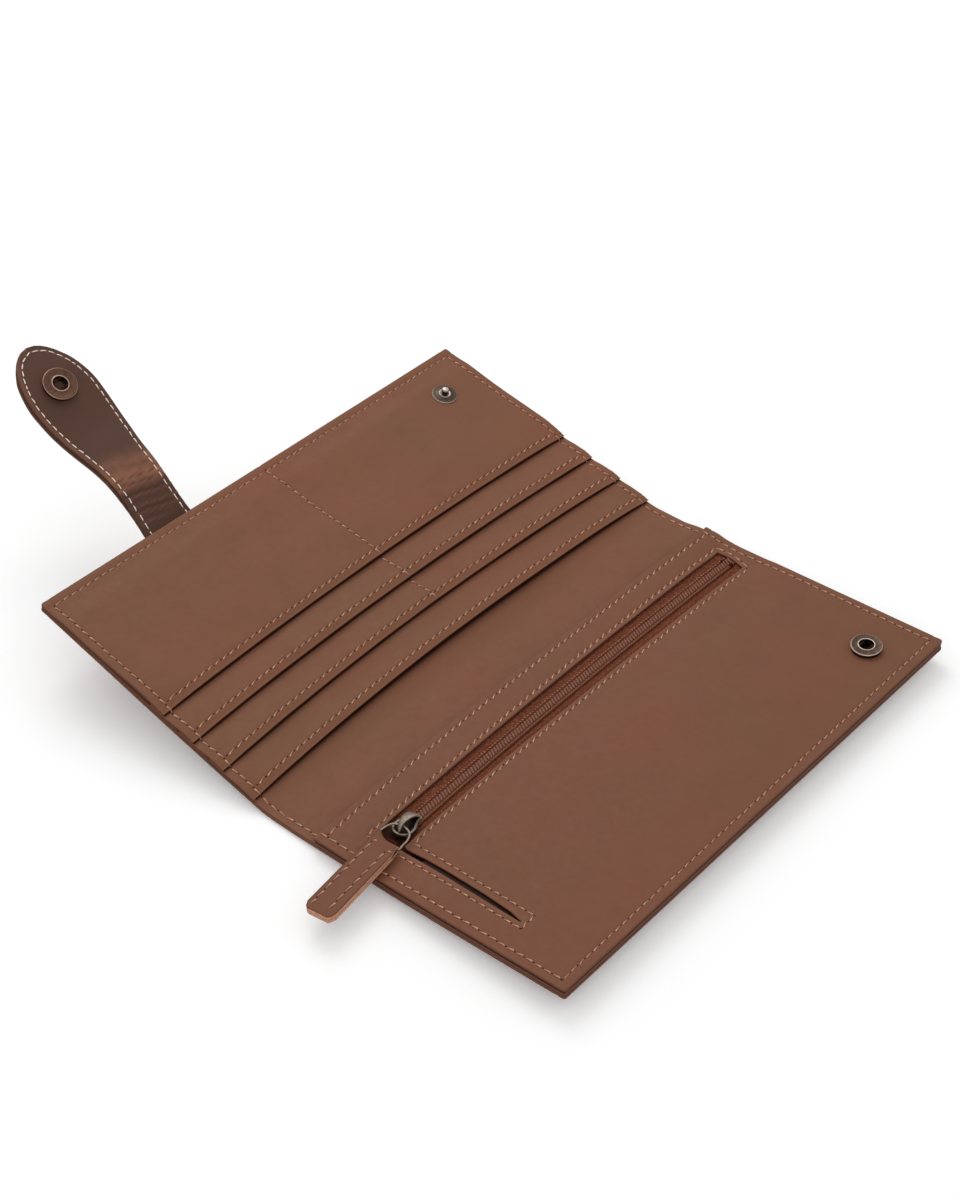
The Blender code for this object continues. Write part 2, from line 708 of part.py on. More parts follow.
def make_bridge(foot):
    """The arch over the slider that holds the bail. It narrows towards the nose."""
    far = SLIDER_LENGTH * 0.45
    near = far - BRIDGE_LENGTH
    top = BRIDGE_LOW + BRIDGE
    rise = top - SLIDER_TOP_HIGH
    section = [
        (far, foot),
        (far, SLIDER_TOP_HIGH + rise / 3),
        (far - rise / 2, top),
        (near + rise / 2, top),
        (near, BRIDGE_LOW),
        (near, foot),
        (near + BRIDGE, foot),
        (near + BRIDGE, BRIDGE_LOW - BRIDGE / 3),
        (near + rise / 2, BRIDGE_LOW),
        (far - rise / 2, BRIDGE_LOW),
        (far - BRIDGE, SLIDER_TOP_HIGH + rise / 4),
        (far - BRIDGE, foot),
    ]
    mesh = sheet(section, BRIDGE_WIDE + OVERRUN)
    mesh.transform(Matrix.Rotation(math.radians(90), 4, "Z"))
    arch = add("slider_bridge", mesh, None, slider)
    outline = [
        (-BRIDGE_WIDE, far + OVERRUN),
        (-BRIDGE_WIDE, far),
        (-BRIDGE_NARROW, near),
        (-BRIDGE_NARROW, near - OVERRUN),
        (BRIDGE_NARROW, near - OVERRUN),
        (BRIDGE_NARROW, near),
        (BRIDGE_WIDE, far),
        (BRIDGE_WIDE, far + OVERRUN),
    ]
    trim = add("bridge_trim", plate(outline, 0, top + OVERRUN), None, slider)
    cut(arch, trim, "INTERSECT")
    return arch


def make_bail():
    """A stirrup of wire: an arch under the bridge, two legs and a straight foot for the pull."""
    foot = BAIL_CORNER - BAIL_LENGTH
    points = []
    for n in range(2 * ARC_STEPS + 1):
        angle = math.pi * n / (2 * ARC_STEPS)
        points.append((BAIL_HALF * math.cos(angle), BAIL_ARCH * (math.sin(angle) - 1)))
    points += arc((BAIL_CORNER - BAIL_HALF, foot), BAIL_CORNER, 180, 270, 3)
    points += arc((BAIL_HALF - BAIL_CORNER, foot), BAIL_CORNER, 270, 360, 3)
    add("bail", wire([(x, y, 0) for x, y in points], BAIL_RADIUS, True), slider_metal, bail)


def make_pull():
    """One leather strip folded over the bail's foot, its two layers sewn together."""
    bore = BAIL_RADIUS + BAIL_GAP
    eye = bore + PULL_LEATHER
    inside = PULL_SPLIT / 2
    outside = inside + PULL_LEATHER
    outer = arc((0, 0), eye, -90, 90, 2 * ARC_STEPS)
    outer += [(-PULL_CLOSE, outside), (-PULL_LENGTH, outside), (-PULL_LENGTH, inside)]
    inner = [(-PULL_CLOSE, inside)] + arc((0, 0), bore, 90, -90, 2 * ARC_STEPS)
    inner += [(-PULL_CLOSE, -inside), (-PULL_LENGTH, -inside)]
    section = outer + inner + [(-PULL_LENGTH, -outside), (-PULL_CLOSE, -outside)]
    mesh = sheet(section, PULL_TIP_HALF + OVERRUN)
    mesh.transform(Matrix.Rotation(math.radians(90), 4, "Z"))
    leather_pull = add("pull", mesh, leather, pull)
    outline = [
        (PULL_EYE_HALF, eye + OVERRUN),
        (PULL_EYE_HALF, -eye),
        (PULL_TOP_HALF, -PULL_CLOSE),
        (PULL_TIP_HALF, PULL_CUT - PULL_LENGTH),
        (PULL_TIP_HALF - PULL_CUT * PULL_CUT_SHARE, -PULL_LENGTH),
    ]
    outline += [(-x, y) for x, y in outline[::-1]]
    trim = add("pull_trim", plate(outline, -eye - OVERRUN, eye + OVERRUN), None, pull)
    cut(leather_pull, trim, "INTERSECT")


# Strap, modelled from each crease towards -X, below the plane of its inner face


def strap_layers(prefix, carrier, outline, kind="POLY"):
    low = -STRAP_LEATHER
    face = add(prefix + "_face", plate(outline, low, 0, kind), strap_leather, carrier)
    low -= LAYER_GAP
    mesh = plate(outline, low - STRAP_LEATHER, low, kind)
    back = add(prefix + "_back", mesh, strap_leather, carrier)
    return face, back


def tab_outline():
    """The free tab: narrow at the crease, a belly round the snap, and a round end."""
    far = [(-SEAT_GAP, STRAP_WAIST, "VECTOR")]
    for along, swell in TAB_SHARES:
        half = STRAP_WAIST + (STRAP_BELLY - STRAP_WAIST) * swell
        far += [(-TAB_LENGTH * along, half, "AUTO")]
    tip = [(-TAB_LENGTH, 0, "AUTO")]
    return far + tip + [(x, -y, handle) for x, y, handle in far[::-1]]


def make_strap():
    top = -COVER - LAYER_GAP
    start, end = HALF_WIDTH - STRAP_ROOT, HALF_WIDTH
    outline = box_outline(-end, -start, STRAP_PLACE - STRAP_HALF, STRAP_PLACE + STRAP_HALF)
    add("strap_root", plate(outline, top - STRAP_THICK, top), strap_leather, card)
    outline = [
        (-SEAT_GAP, -STRAP_HALF),
        (-SEAT_GAP, STRAP_HALF),
        (SEAT_GAP - RISER_LENGTH, STRAP_WAIST),
        (SEAT_GAP - RISER_LENGTH, -STRAP_WAIST),
    ]
    strap_layers("strap_riser", riser, outline)
    face, back = strap_layers("strap_tab", tab, tab_outline(), "BEZIER")
    place = (-TAB_SNAP, 0, 0)
    hole = BARREL_RADIUS + LAYER_GAP
    cutter = drum("tab_hole", tab, place, hole, -STRAP_THICK - OVERRUN, OVERRUN)
    cut(face, cutter)
    cut(back, cutter)


def make_strap_snap():
    place = (-TAB_SNAP, 0, 0)
    mesh = socket_mesh(STRAP_SOCKET_RADIUS, STRAP_SOCKET_HOLE, STRAP_THICK)
    add("strap_socket", mesh, snap_metal, tab, place)
    add("strap_spring", spring_mesh(), spring_metal, tab, place)
    top = -STRAP_THICK - LAYER_GAP
    low = top - CAP_HEIGHT
    profile = [(0, top), (CAP_RADIUS, top), (CAP_RADIUS, top - CAP_HEIGHT / 3)]
    profile += [(CAP_RADIUS * 0.85, low + CAP_HEIGHT / 4), (CAP_RADIUS * 0.5, low), (0, low)]
    add("strap_cap", turned(profile), snap_metal, tab, place)


def zip_raise():
    """The zip half leans on the stud under it, so its tilt brings the stud's tip to the floor."""
    depth = COVER + LAYER_GAP + STUD_FLANGE + STRAP_STUD_POST
    foot = STRAP_STUD_PLACE - STUD_NECK_RADIUS
    return math.atan2(depth, foot) - math.asin(COVER / math.hypot(foot, depth))


clear_scene()
parts = new_collection("wallet")
cutters = new_collection("cutters")

leather = finish("leather", (0.202, 0.089, 0.054), 0.55)
strap_leather = finish("strap_leather", (0.107, 0.051, 0.034), 0.5)
lining = finish("lining", (0.170, 0.075, 0.047), 0.7)
cloth = finish("pocket_cloth", (0.090, 0.045, 0.030), 0.9)
tape = finish("zip_tape", (0.156, 0.045, 0.021), 0.85)
teeth = finish("zip_teeth", (0.305, 0.127, 0.080), 0.4)
slider_metal = finish("slider_metal", (0.223, 0.188, 0.150), 0.35, 1.0)
snap_metal = finish("snap_metal", (0.188, 0.114, 0.080), 0.4, 1.0)
spring_metal = finish("spring_metal", (0.376, 0.305, 0.238), 0.3, 1.0)

fold = SPINE_WIDTH / 2
card = pivot("card_fold", (-fold, 0, COVER), None, (0, CARD_RAISE, 0))
zip_half = pivot("zip_fold", (fold, 0, COVER), None, (0, -zip_raise(), 0))
zip_line = pivot("zip_line", (ZIP_PLACE, WINDOW_MIDDLE, 0), zip_half, (0, 0, ZIP_SKEW))
slider = pivot("zip_slide", (0, SLIDER_PLACE, 0), zip_line)
bail = pivot("bail_flip", (BAIL_SHIFT, BAIL_SET, BAIL_HEIGHT), slider, (0, 0, BAIL_YAW))
pull = pivot("pull_fold", (0, -BAIL_LENGTH, 0), bail)
strap_start = (-HALF_WIDTH - STRAP_SET, STRAP_PLACE, -COVER - LAYER_GAP)
riser = pivot("strap_lift", strap_start, card, (0, RISER_RAISE, 0))
tab = pivot("strap_bend", (-RISER_LENGTH, 0, 0), riser, (0, -TAB_DROP, 0))

make_spine()
make_card_covers()
make_pockets()
make_card_panel()
make_closure_stud()
make_zip_covers()
make_zip_panel()
make_slit_leaf()
make_tapes()
make_chain()
make_closure_socket()
make_strap_stud()
make_slider()
make_bail()
make_pull()
make_strap()
make_strap_snap()
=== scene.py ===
# The looks of a long brown leather wallet that lies open: sewn leather layers, a zip with a leather
# pull, press snaps and a strap. All sizes are in millimetres until place() turns them into metres.

import math
from collections import namedtuple
from functools import partial

import bmesh
import bpy
import numpy as np
from mathutils import Matrix, Vector


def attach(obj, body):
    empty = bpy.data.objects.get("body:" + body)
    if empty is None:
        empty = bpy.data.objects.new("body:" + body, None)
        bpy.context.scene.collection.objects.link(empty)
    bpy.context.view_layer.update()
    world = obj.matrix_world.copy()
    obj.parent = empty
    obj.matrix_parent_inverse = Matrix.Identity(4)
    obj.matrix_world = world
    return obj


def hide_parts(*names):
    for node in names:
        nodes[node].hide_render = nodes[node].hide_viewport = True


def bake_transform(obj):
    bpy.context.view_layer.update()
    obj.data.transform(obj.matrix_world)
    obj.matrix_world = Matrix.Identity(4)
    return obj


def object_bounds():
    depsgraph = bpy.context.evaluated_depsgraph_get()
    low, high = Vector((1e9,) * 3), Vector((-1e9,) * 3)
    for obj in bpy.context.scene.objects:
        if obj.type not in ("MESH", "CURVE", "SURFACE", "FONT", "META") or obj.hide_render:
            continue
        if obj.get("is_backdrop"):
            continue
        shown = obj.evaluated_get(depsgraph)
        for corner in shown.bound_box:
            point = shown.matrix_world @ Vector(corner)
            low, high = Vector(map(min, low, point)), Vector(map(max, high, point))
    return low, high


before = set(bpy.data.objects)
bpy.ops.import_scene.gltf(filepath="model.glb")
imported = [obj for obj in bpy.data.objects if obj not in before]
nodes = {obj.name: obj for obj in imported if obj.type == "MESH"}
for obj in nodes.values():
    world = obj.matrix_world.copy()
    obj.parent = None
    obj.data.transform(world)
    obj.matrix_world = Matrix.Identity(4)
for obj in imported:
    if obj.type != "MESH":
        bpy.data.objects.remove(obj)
cad_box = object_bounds()

MM = 0.001

# The two halves, as the CAD has them
HALF_LENGTH = 95.0
HALF_WIDTH = 102.0
FOLD_X = 6.0
COVER = 1.1
CARD_TILT = math.radians(13.3)
ZIP_TILT = math.asin(0.0447)
FOLD_REACH = 4.0
CORNER = 0.9

# Heights over the top of the cover
LINING_TOP = 0.45
TAPE_BASE = 1.25
TAPE_TOP = 1.65
PANEL_BASE = 1.8
PANEL_TOP = 2.9
CHAIN_TOP = 2.95
HEM = 1.7
STRIP = 0.9

# A pocket's leather: where its mouth is, its base there, where it steps down, its base after that,
# how far the mouth gapes, and where the leather ends
Pocket = namedtuple("Pocket", "edge base step low gape end")
NOTE = Pocket(5.0, 0.6, None, 0.6, 0.95, 24.2)
LOWER = Pocket(18.2, 1.65, 24.8, 0.95, 0.28, 37.4)
UPPER = Pocket(31.4, 2.0, 38.0, 1.3, 0.22, 50.6)
CARDS = Pocket(44.6, 2.35, 51.2, 1.65, 0.25, HALF_WIDTH)
POCKETS = (NOTE, LOWER, UPPER, CARDS)
HEM_ROW = 2.7

# Rows of stitches along the ends and the outer edges
ROW_Y = 92.2
CARD_ROW_S = 98.8

# Zip window, slit and their stitch rows
ZIP_S = 25.4
ZIP_Y = 1.2
ZIP_SKEW = math.radians(0.8)
WINDOW_LEFT = 5.5
WINDOW_RIGHT = 4.6
WINDOW_LONG = 84.75
SLIT_NEAR = -83.45
SLIT_FAR = -81.75
SLIT_END = 76.6
PANEL_EDGE = 8.25

# Where the closing snap sits on both halves, and the strap's stud on the zip half
SNAP_S = 85.4
SNAP_Y = 76.0
STRAP_STUD_S = 60.4

# Stitches: the thread's radius, the way from one to the next, and their slant
THREAD = 0.2
PITCH = 3.2
SLANT = 0.36


def srgb(red, green, blue):
    """A screen colour, 0 to 255, as the linear values that a shader takes."""
    made = []
    for value in (red, green, blue):
        c = value / 255
        made.append(c / 12.92 if c <= 0.04045 else ((c + 0.055) / 1.055) ** 2.4)
    return (*made, 1)


def ramp(x, low, high):
    t = np.clip((np.asarray(x, float) - low) / (high - low), 0, 1)
    return t * t * (3 - 2 * t)


def ridge(x, centre, width):
    return np.exp(-(((np.asarray(x, float) - centre) / width) ** 2))


def rounding(distance, radius):
    """How far a surface falls near an edge that is rounded off."""
    u = np.clip(1 - np.asarray(distance, float) / radius, 0, 1)
    return radius * (1 - np.sqrt(1 - u * u))


def ripple(a, b, seed, size):
    """A slow, uneven rise and fall, as leather has, from a few waves."""
    total = 0
    for n, wave in enumerate((61.0, 37.0, 23.0)):
        turn = seed * 2.3 + n * 1.7
        way = a / wave * 6.283 * math.cos(turn) + b / wave * 6.283 * math.sin(turn)
        total = total + np.sin(way + seed * (n + 1))
    return size * total / 3


# Finishes


class Finish:
    """A node material, with short calls for what its finishes share."""

    def __init__(self, name, roughness, metallic=0.0, specular=0.5):
        self.made = bpy.data.materials.new(name)
        self.made.use_nodes = True
        self.tree = self.made.node_tree
        self.shader = self.tree.nodes["Principled BSDF"]
        inputs = {"Roughness": roughness, "Metallic": metallic, "Specular IOR Level": specular}
        self.feed(self.shader, inputs)
        self.where = self.node("ShaderNodeTexCoord").outputs["Object"]

    def feed(self, made, inputs):
        """Gives each input of a node a value, or the output of another node."""
        for place, value in inputs.items():
            if isinstance(value, bpy.types.NodeSocket):
                self.tree.links.new(value, made.inputs[place])
            else:
                made.inputs[place].default_value = value

    def node(self, kind, inputs=None, **values):
        made = self.tree.nodes.new(kind)
        for key, value in values.items():
            setattr(made, key, value)
        self.feed(made, inputs or {})
        return made

    def stretched(self, scale):
        return self.node("ShaderNodeMapping", {"Scale": scale, "Vector": self.where}).outputs["Vector"]

    def noise(self, scale, detail=3.0):
        inputs = {"Scale": scale, "Detail": detail, "Vector": self.where}
        return self.node("ShaderNodeTexNoise", inputs).outputs["Fac"]

    def cells(self, scale):
        inputs = {"Scale": scale, "Vector": self.where}
        return self.node("ShaderNodeTexVoronoi", inputs).outputs["Distance"]

    def wave(self, scale, stretch, distortion=0.0):
        inputs = {"Scale": scale, "Distortion": distortion, "Vector": self.stretched(stretch)}
        return self.node("ShaderNodeTexWave", inputs).outputs["Fac"]

    def span(self, source, low, high, to_low=0.0, to_high=1.0):
        inputs = {"Value": source, "From Min": low, "From Max": high}
        inputs.update({"To Min": to_low, "To Max": to_high})
        return self.node("ShaderNodeMapRange", inputs, clamp=True).outputs["Result"]

    def product(self, first, second):
        return self.node("ShaderNodeMath", {0: first, 1: second}, operation="MULTIPLY").outputs["Value"]

    def mixed(self, amount, first, second):
        """Two colours mixed, each a node's output or a screen colour from 0 to 255."""
        pair = [srgb(*colour) if isinstance(colour, tuple) else colour for colour in (first, second)]
        inputs = {0: amount, 6: pair[0], 7: pair[1]}
        return self.node("ShaderNodeMix", inputs, data_type="RGBA").outputs[2]

    def painted(self, name):
        return self.node("ShaderNodeAttribute", attribute_name=name).outputs["Fac"]

    def colour(self, source):
        self.feed(self.shader, {"Base Color": source})

    def rough(self, source):
        self.feed(self.shader, {"Roughness": source})

    def bump(self, *steps):
        """Bumps laid over each other, each as (height, strength, depth in millimetres)."""
        under = {}
        for height, strength, depth in steps:
            inputs = {"Height": height, "Strength": strength, "Distance": depth * MM, **under}
            under = {"Normal": self.node("ShaderNodeBump", inputs).outputs["Normal"]}
        self.feed(self.shader, under)


def leather_finish(name, base, warm, dark, pale, cut, roughness):
    """Waxed leather: softly cloudy colour, a fine grain, pale wear and pale painted highlights, painted
    shade, near-black painted deep shade and fibrous cut edges.
    """
    look = Finish(name, roughness, specular=0.14)
    body = look.mixed(look.span(look.noise(26), 0.32, 0.68), base, warm)
    body = look.mixed(look.span(look.noise(90, 5), 0.45, 0.8, 0, 0.16), body, dark)
    body = look.mixed(look.span(look.noise(1100, 5), 0.66, 0.8, 0, 0.3), body, dark)
    # Mixed toward pale: real wear along the wallet's edges and mouths, and painted highlights on the
    # strap's bend and creases
    wear_and_highlight_share = look.product(look.painted("worn"), look.span(look.noise(340, 5), 0.2, 0.7, 0.4, 1.0))
    body = look.mixed(wear_and_highlight_share, body, pale)
    body = look.mixed(look.painted("shade"), body, dark)
    fibres = look.mixed(look.span(look.noise(1700, 6), 0.35, 0.7, 0, 0.55), cut, dark)
    body = look.mixed(look.painted("cut"), body, fibres)
    # Painted deep shade: near black in the gaps under pocket mouths, between layers and in the zip's
    # openings
    look.colour(look.mixed(look.painted("deep"), body, (46, 21, 12)))
    look.rough(look.span(look.noise(420, 4), 0.3, 0.7, roughness - 0.05, roughness + 0.07))
    clouds, pores, grain = look.noise(130), look.cells(1500), look.noise(2600, 4)
    look.bump((clouds, 0.22, 0.35), (pores, 0.22, 0.08), (grain, 0.22, 0.04))
    return look.made


def thread_finish(name, base, shade, highlight):
    """Twisted thread, with a painted highlight on each stitch's plump end, where it dives into its
    hole.
    """
    look = Finish(name, 0.42)
    twist = look.wave(1500, (1, 1, 1), 1.5)
    body = look.mixed(look.span(twist, 0.2, 0.8, 0.35, 1.0), shade, base)
    # The painted highlight on each stitch's plump end
    look.colour(look.mixed(look.painted("worn"), body, highlight))
    look.bump((twist, 0.4, 0.06))
    return look.made


def hole_finish(name, dark, rim):
    look = Finish(name, 0.9, specular=0.05)
    look.colour(look.mixed(look.span(look.noise(1500), 0.4, 0.7), dark, rim))
    return look.made


def metal_finish(name, base, dark, pale, roughness, dots=0.0):
    """Antique plating: dull and darker in stains, with painted shade in its hollows and undersides and
    painted highlights on its edges and tops.
    """
    look = Finish(name, roughness, 1.0)
    stains = look.span(look.noise(900, 6), 0.4, 0.72, 0, 0.6)
    body = look.mixed(stains, base, dark)
    if dots:
        body = look.mixed(look.span(look.cells(1150), 0.12, 0.34, dots, 0), body, dark)
    # Painted shade, near black
    body = look.mixed(look.painted("shade"), body, (24, 16, 12))
    # Painted highlights
    body = look.mixed(look.painted("worn"), body, pale)
    look.colour(body)
    look.rough(look.span(look.noise(1900, 5), 0.3, 0.7, roughness - 0.05, roughness + 0.12))
    look.bump((look.noise(2400, 5), 0.2, 0.04))
    return look.made


def tape_finish():
    """Ribbed woven tape with paler and darker threads."""
    look = Finish("zip_tape_weave", 0.95, specular=0.1)
    weave = look.product(look.wave(330, (0.7, 1, 0), 2.0), look.wave(460, (1, -0.5, 0), 2.4))
    body = look.mixed(look.span(weave, 0.05, 0.6), (88, 45, 29), (124, 71, 50))
    body = look.mixed(look.span(look.noise(950, 5), 0.36, 0.62, 0, 0.85), body, (98, 53, 36))
    body = look.mixed(look.span(look.noise(1500, 4), 0.5, 0.68, 0, 0.7), body, (142, 86, 62))
    look.colour(look.mixed(look.painted("shade"), body, (40, 18, 12)))
    look.bump((weave, 0.55, 0.16), (look.noise(1300, 4), 0.7, 0.14))
    return look.made


def cloth_finish():
    look = Finish("pocket_cloth_weave", 0.95)
    weave = look.product(look.wave(900, (1, 0, 0)), look.wave(900, (0, 1, 0)))
    look.colour(look.mixed(weave, (62, 42, 34), (92, 64, 52)))
    look.bump((weave, 0.6, 0.1))
    return look.made


def teeth_finish(name, base, dark):
    look = Finish(name, 0.45, specular=0.16)
    body = look.mixed(look.span(look.noise(1200), 0.35, 0.7), base, dark)
    look.colour(look.mixed(look.painted("shade"), body, (88, 48, 34)))
    look.bump((look.noise(2400, 2), 0.2, 0.04))
    return look.made


LEATHER = leather_finish(
    "wallet_leather", (116, 77, 55), (122, 76, 56), (92, 54, 38), (152, 108, 86), (104, 66, 50), 0.55
)
PULL_LEATHER = leather_finish(
    "pull_leather", (111, 72, 52), (115, 72, 53), (78, 43, 29), (146, 100, 78), (206, 152, 124), 0.55
)
STRAP_LEATHER = leather_finish(
    "strap_leather_dark", (84, 57, 45), (82, 56, 45), (58, 36, 27), (146, 98, 76), (92, 61, 47), 0.5
)
TAN_THREAD = thread_finish("tan_thread", (176, 124, 96), (134, 88, 66), (230, 184, 156))
CREAM_THREAD = thread_finish("cream_thread", (242, 232, 220), (206, 182, 164), (252, 246, 238))
# The needle holes' dark finish is painted shade for the hole
NEEDLE_HOLE = hole_finish("needle_hole", (52, 24, 14), (78, 42, 28))
STRAP_HOLE = hole_finish("strap_needle_hole", (146, 88, 60), (124, 72, 50))
SNAP_METAL = metal_finish("snap_antique_nickel", (97, 80, 69), (60, 48, 41), (224, 200, 184), 0.4, 0.8)
COPPER = metal_finish("snap_antique_copper", (108, 80, 66), (62, 41, 32), (206, 172, 150), 0.4)
STUD_METAL = metal_finish("stud_antique_nickel", (80, 68, 59), (56, 46, 40), (226, 206, 192), 0.38)
SLIDER_METAL = metal_finish("slider_antique_nickel", (108, 92, 81), (66, 53, 45), (190, 176, 160), 0.56)
# The springs are coloured near black as painted shade for the inside of the snaps
SHADED_SPRING_METAL = metal_finish("spring_wire_painted_shade", (56, 46, 39), (34, 27, 22), (120, 108, 96), 0.4)
TAPE = tape_finish()
CLOTH = cloth_finish()
TEETH = teeth_finish("zip_teeth_nylon", (138, 88, 64), (118, 73, 53))
LOOPS = teeth_finish("zip_loop_thread", (166, 116, 92), (138, 90, 69))


# Places on the two halves


def fold_table(tilt):
    """Where the leather runs as it turns from the flat spine into a raised half."""
    steps = np.linspace(-FOLD_REACH, FOLD_REACH, 161)
    angle = tilt * ramp(steps, -FOLD_REACH, FOLD_REACH)
    gap = steps[1] - steps[0]
    out = np.concatenate([[0], np.cumsum((np.cos(angle[1:]) + np.cos(angle[:-1])) / 2 * gap)])
    up = np.concatenate([[0], np.cumsum((np.sin(angle[1:]) + np.sin(angle[:-1])) / 2 * gap)])
    share = (steps + FOLD_REACH) / (2 * FOLD_REACH)
    out = out - FOLD_REACH + share * (FOLD_REACH * (1 + math.cos(tilt)) - out[-1])
    up = up + share * (FOLD_REACH * math.sin(tilt) - up[-1])
    return steps, angle, out, up


FOLDS = {-1: fold_table(CARD_TILT), 1: fold_table(ZIP_TILT)}
TILTS = {-1: CARD_TILT, 1: ZIP_TILT}


# How far the far end of the spine stands off the table, and how far the near edge bows out
RISE = {
    -1: ([-6, -2, 4, 12, 24, 40], [2.1, 2.1, 1.6, 1.0, 0.4, 0]),
    1: ([-6, -2, 4, 9, 14, 18, 22], [2.1, 2.1, 1.9, 1.6, 1.0, 0.4, 0]),
}
BOW = {
    -1: ([-6, 20, 45, 70, 102], [1.4, 1.4, 1.1, 0.6, 0]),
    1: ([-6, 40, 60, 80, 102], [1.4, 1.4, 1.1, 0.6, 0]),
}
# How far the middle of each mouth and row has drifted sideways from the line between its two ends
DRIFT = {
    -1: ([0, 5, 18, 31.4, 44.6, 60, 76], [0, 4.3, 4.0, 3.1, 2.6, 1.3, 0]),
    1: ([0, 8, 11, 14, 18.2, 20, 31, 45, 60], [0, -2.8, -2.8, -2.3, -1.7, -1.5, -1.45, -0.5, 0]),
}


def half_place(side, s, y, h, drift=1.0):
    """Points on a half, from their way out from the fold, along the spine and over the cover."""
    steps, angles, outs, ups = FOLDS[side]
    s, y, h = (np.asarray(v, float) for v in np.broadcast_arrays(s, y, h))
    rise = np.interp(s, *RISE[side]) * ramp(y, 25, 98)
    long = np.interp(s * side, [11, 20], [HALF_LENGTH, 83.0])
    s = s + drift * np.interp(s, *DRIFT[side]) * np.clip(1 - (y / long) ** 2, 0, 1)
    y = y - np.interp(s, *BOW[side]) * ramp(-y, 84, 95)
    inner = np.clip(s, -FOLD_REACH, FOLD_REACH)
    over = s - inner
    angle = np.interp(inner, steps, angles)
    out = np.interp(inner, steps, outs) + over * np.where(over > 0, math.cos(TILTS[side]), 1)
    up = np.interp(inner, steps, ups) + over * np.where(over > 0, math.sin(TILTS[side]), 0)
    x = side * (FOLD_X + out - h * np.sin(angle))
    z = COVER + up + h * np.cos(angle) + rise
    return np.stack([x, y, z], -1) * MM


card_place = partial(half_place, -1)
zip_place = partial(half_place, 1)
PLACES = {-1: card_place, 1: zip_place}


def corner_turned(s, y):
    """Draws the square corners of a half into round ones."""
    across = s - (HALF_WIDTH - CORNER)
    along = np.abs(y) - (HALF_LENGTH - CORNER)
    both = (across > 0) & (along > 0)
    most = np.maximum(across, along)
    reach = np.hypot(across, along)
    scale = np.where(both, most / np.maximum(reach, 1e-9), 1)
    s = np.where(both, HALF_WIDTH - CORNER + across * scale, s)
    y = np.where(both, np.sign(y) * (HALF_LENGTH - CORNER + along * scale), y)
    return s, y


# Making pieces


def only(piece):
    bpy.ops.object.select_all(action="DESELECT")
    piece.select_set(True)
    bpy.context.view_layer.objects.active = piece


def faces_out(piece, weld=0.0):
    """Turns every face of a closed piece outwards, once points closer than weld are joined."""
    only(piece)
    bpy.ops.object.mode_set(mode="EDIT")
    bpy.ops.mesh.select_all(action="SELECT")
    if weld:
        bpy.ops.mesh.remove_doubles(threshold=weld)
    bpy.ops.mesh.normals_make_consistent(inside=False)
    bpy.ops.object.mode_set(mode="OBJECT")


def settle(piece, name, finish, slot, body, smooth=40, replaced=(), **painted):
    """Names, paints and smooths a finished piece, gives it its finish, lets it ride on its body, or
    leaves it where it is when given two bodies, and puts it in the place of the CAD nodes that it
    replaces."""
    piece.name = name
    piece.data.name = name
    for key, values in painted.items():
        paint(piece, key, values)
    only(piece)
    bpy.ops.object.shade_smooth_by_angle(angle=math.radians(smooth))
    if finish is not None:
        piece.data.materials.clear()
        piece.data.materials.append(finish)
    if isinstance(body, tuple):
        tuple(body[2])
        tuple(body[3])
        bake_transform(piece)
    else:
        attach(piece, body)
    if replaced:
        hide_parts(*replaced)
    return piece


def paint(piece, name, values):
    layer = piece.data.attributes.get(name) or piece.data.attributes.new(name, "FLOAT", "POINT")
    values = np.broadcast_to(np.clip(values, 0, 1), len(piece.data.vertices))
    layer.data.foreach_set("value", values.astype(np.float32))


def lines(low, high, step, *fine):
    """Grid lines from low to high, with extra ones close to the places that need them."""
    count = max(2, int(round((high - low) / step)) + 1)
    marks = list(np.linspace(low, high, count))
    for place, offsets in fine:
        marks += [place + o for o in offsets]
    marks = sorted(m for m in marks if low - 1e-6 <= m <= high + 1e-6)
    kept = [marks[0]]
    for mark in marks[1:]:
        if mark - kept[-1] > 0.03:
            kept.append(mark)
    kept[-1] = high
    return np.array(kept)


# Extra grid lines at a rounded edge, at a round corner, across a sewn groove and at a mouth
EDGE = (0.0, 0.06, 0.16, 0.3, 0.5)
ROUND = (0.35, 0.65, 0.9)
GROOVE = (-0.8, -0.4, 0.0, 0.4, 0.8)
MOUTH = (0.0, 0.05, 0.12, 0.22, 0.5, 0.9)


def inward(place, offsets=EDGE):
    return place, [-o for o in offsets]


def groove(place):
    return place, GROOVE


def grid_along(step, *fine, corners=True):
    """Grid lines along the spine, fine at the two ends and under the rows sewn along them."""
    ends = [(-HALF_LENGTH, EDGE), inward(HALF_LENGTH), groove(-ROW_Y), groove(ROW_Y)]
    if corners:
        ends += [(-HALF_LENGTH, ROUND), inward(HALF_LENGTH, ROUND)]
    return lines(-HALF_LENGTH, HALF_LENGTH, step, *ends, *fine)


def grid_out(start, step, row, *fine):
    """Grid lines out to the wallet's edge, fine there and under the row sewn along it."""
    edge = inward(HALF_WIDTH), inward(HALF_WIDTH, ROUND), groove(row)
    return lines(start, HALF_WIDTH, step, *edge, *fine)


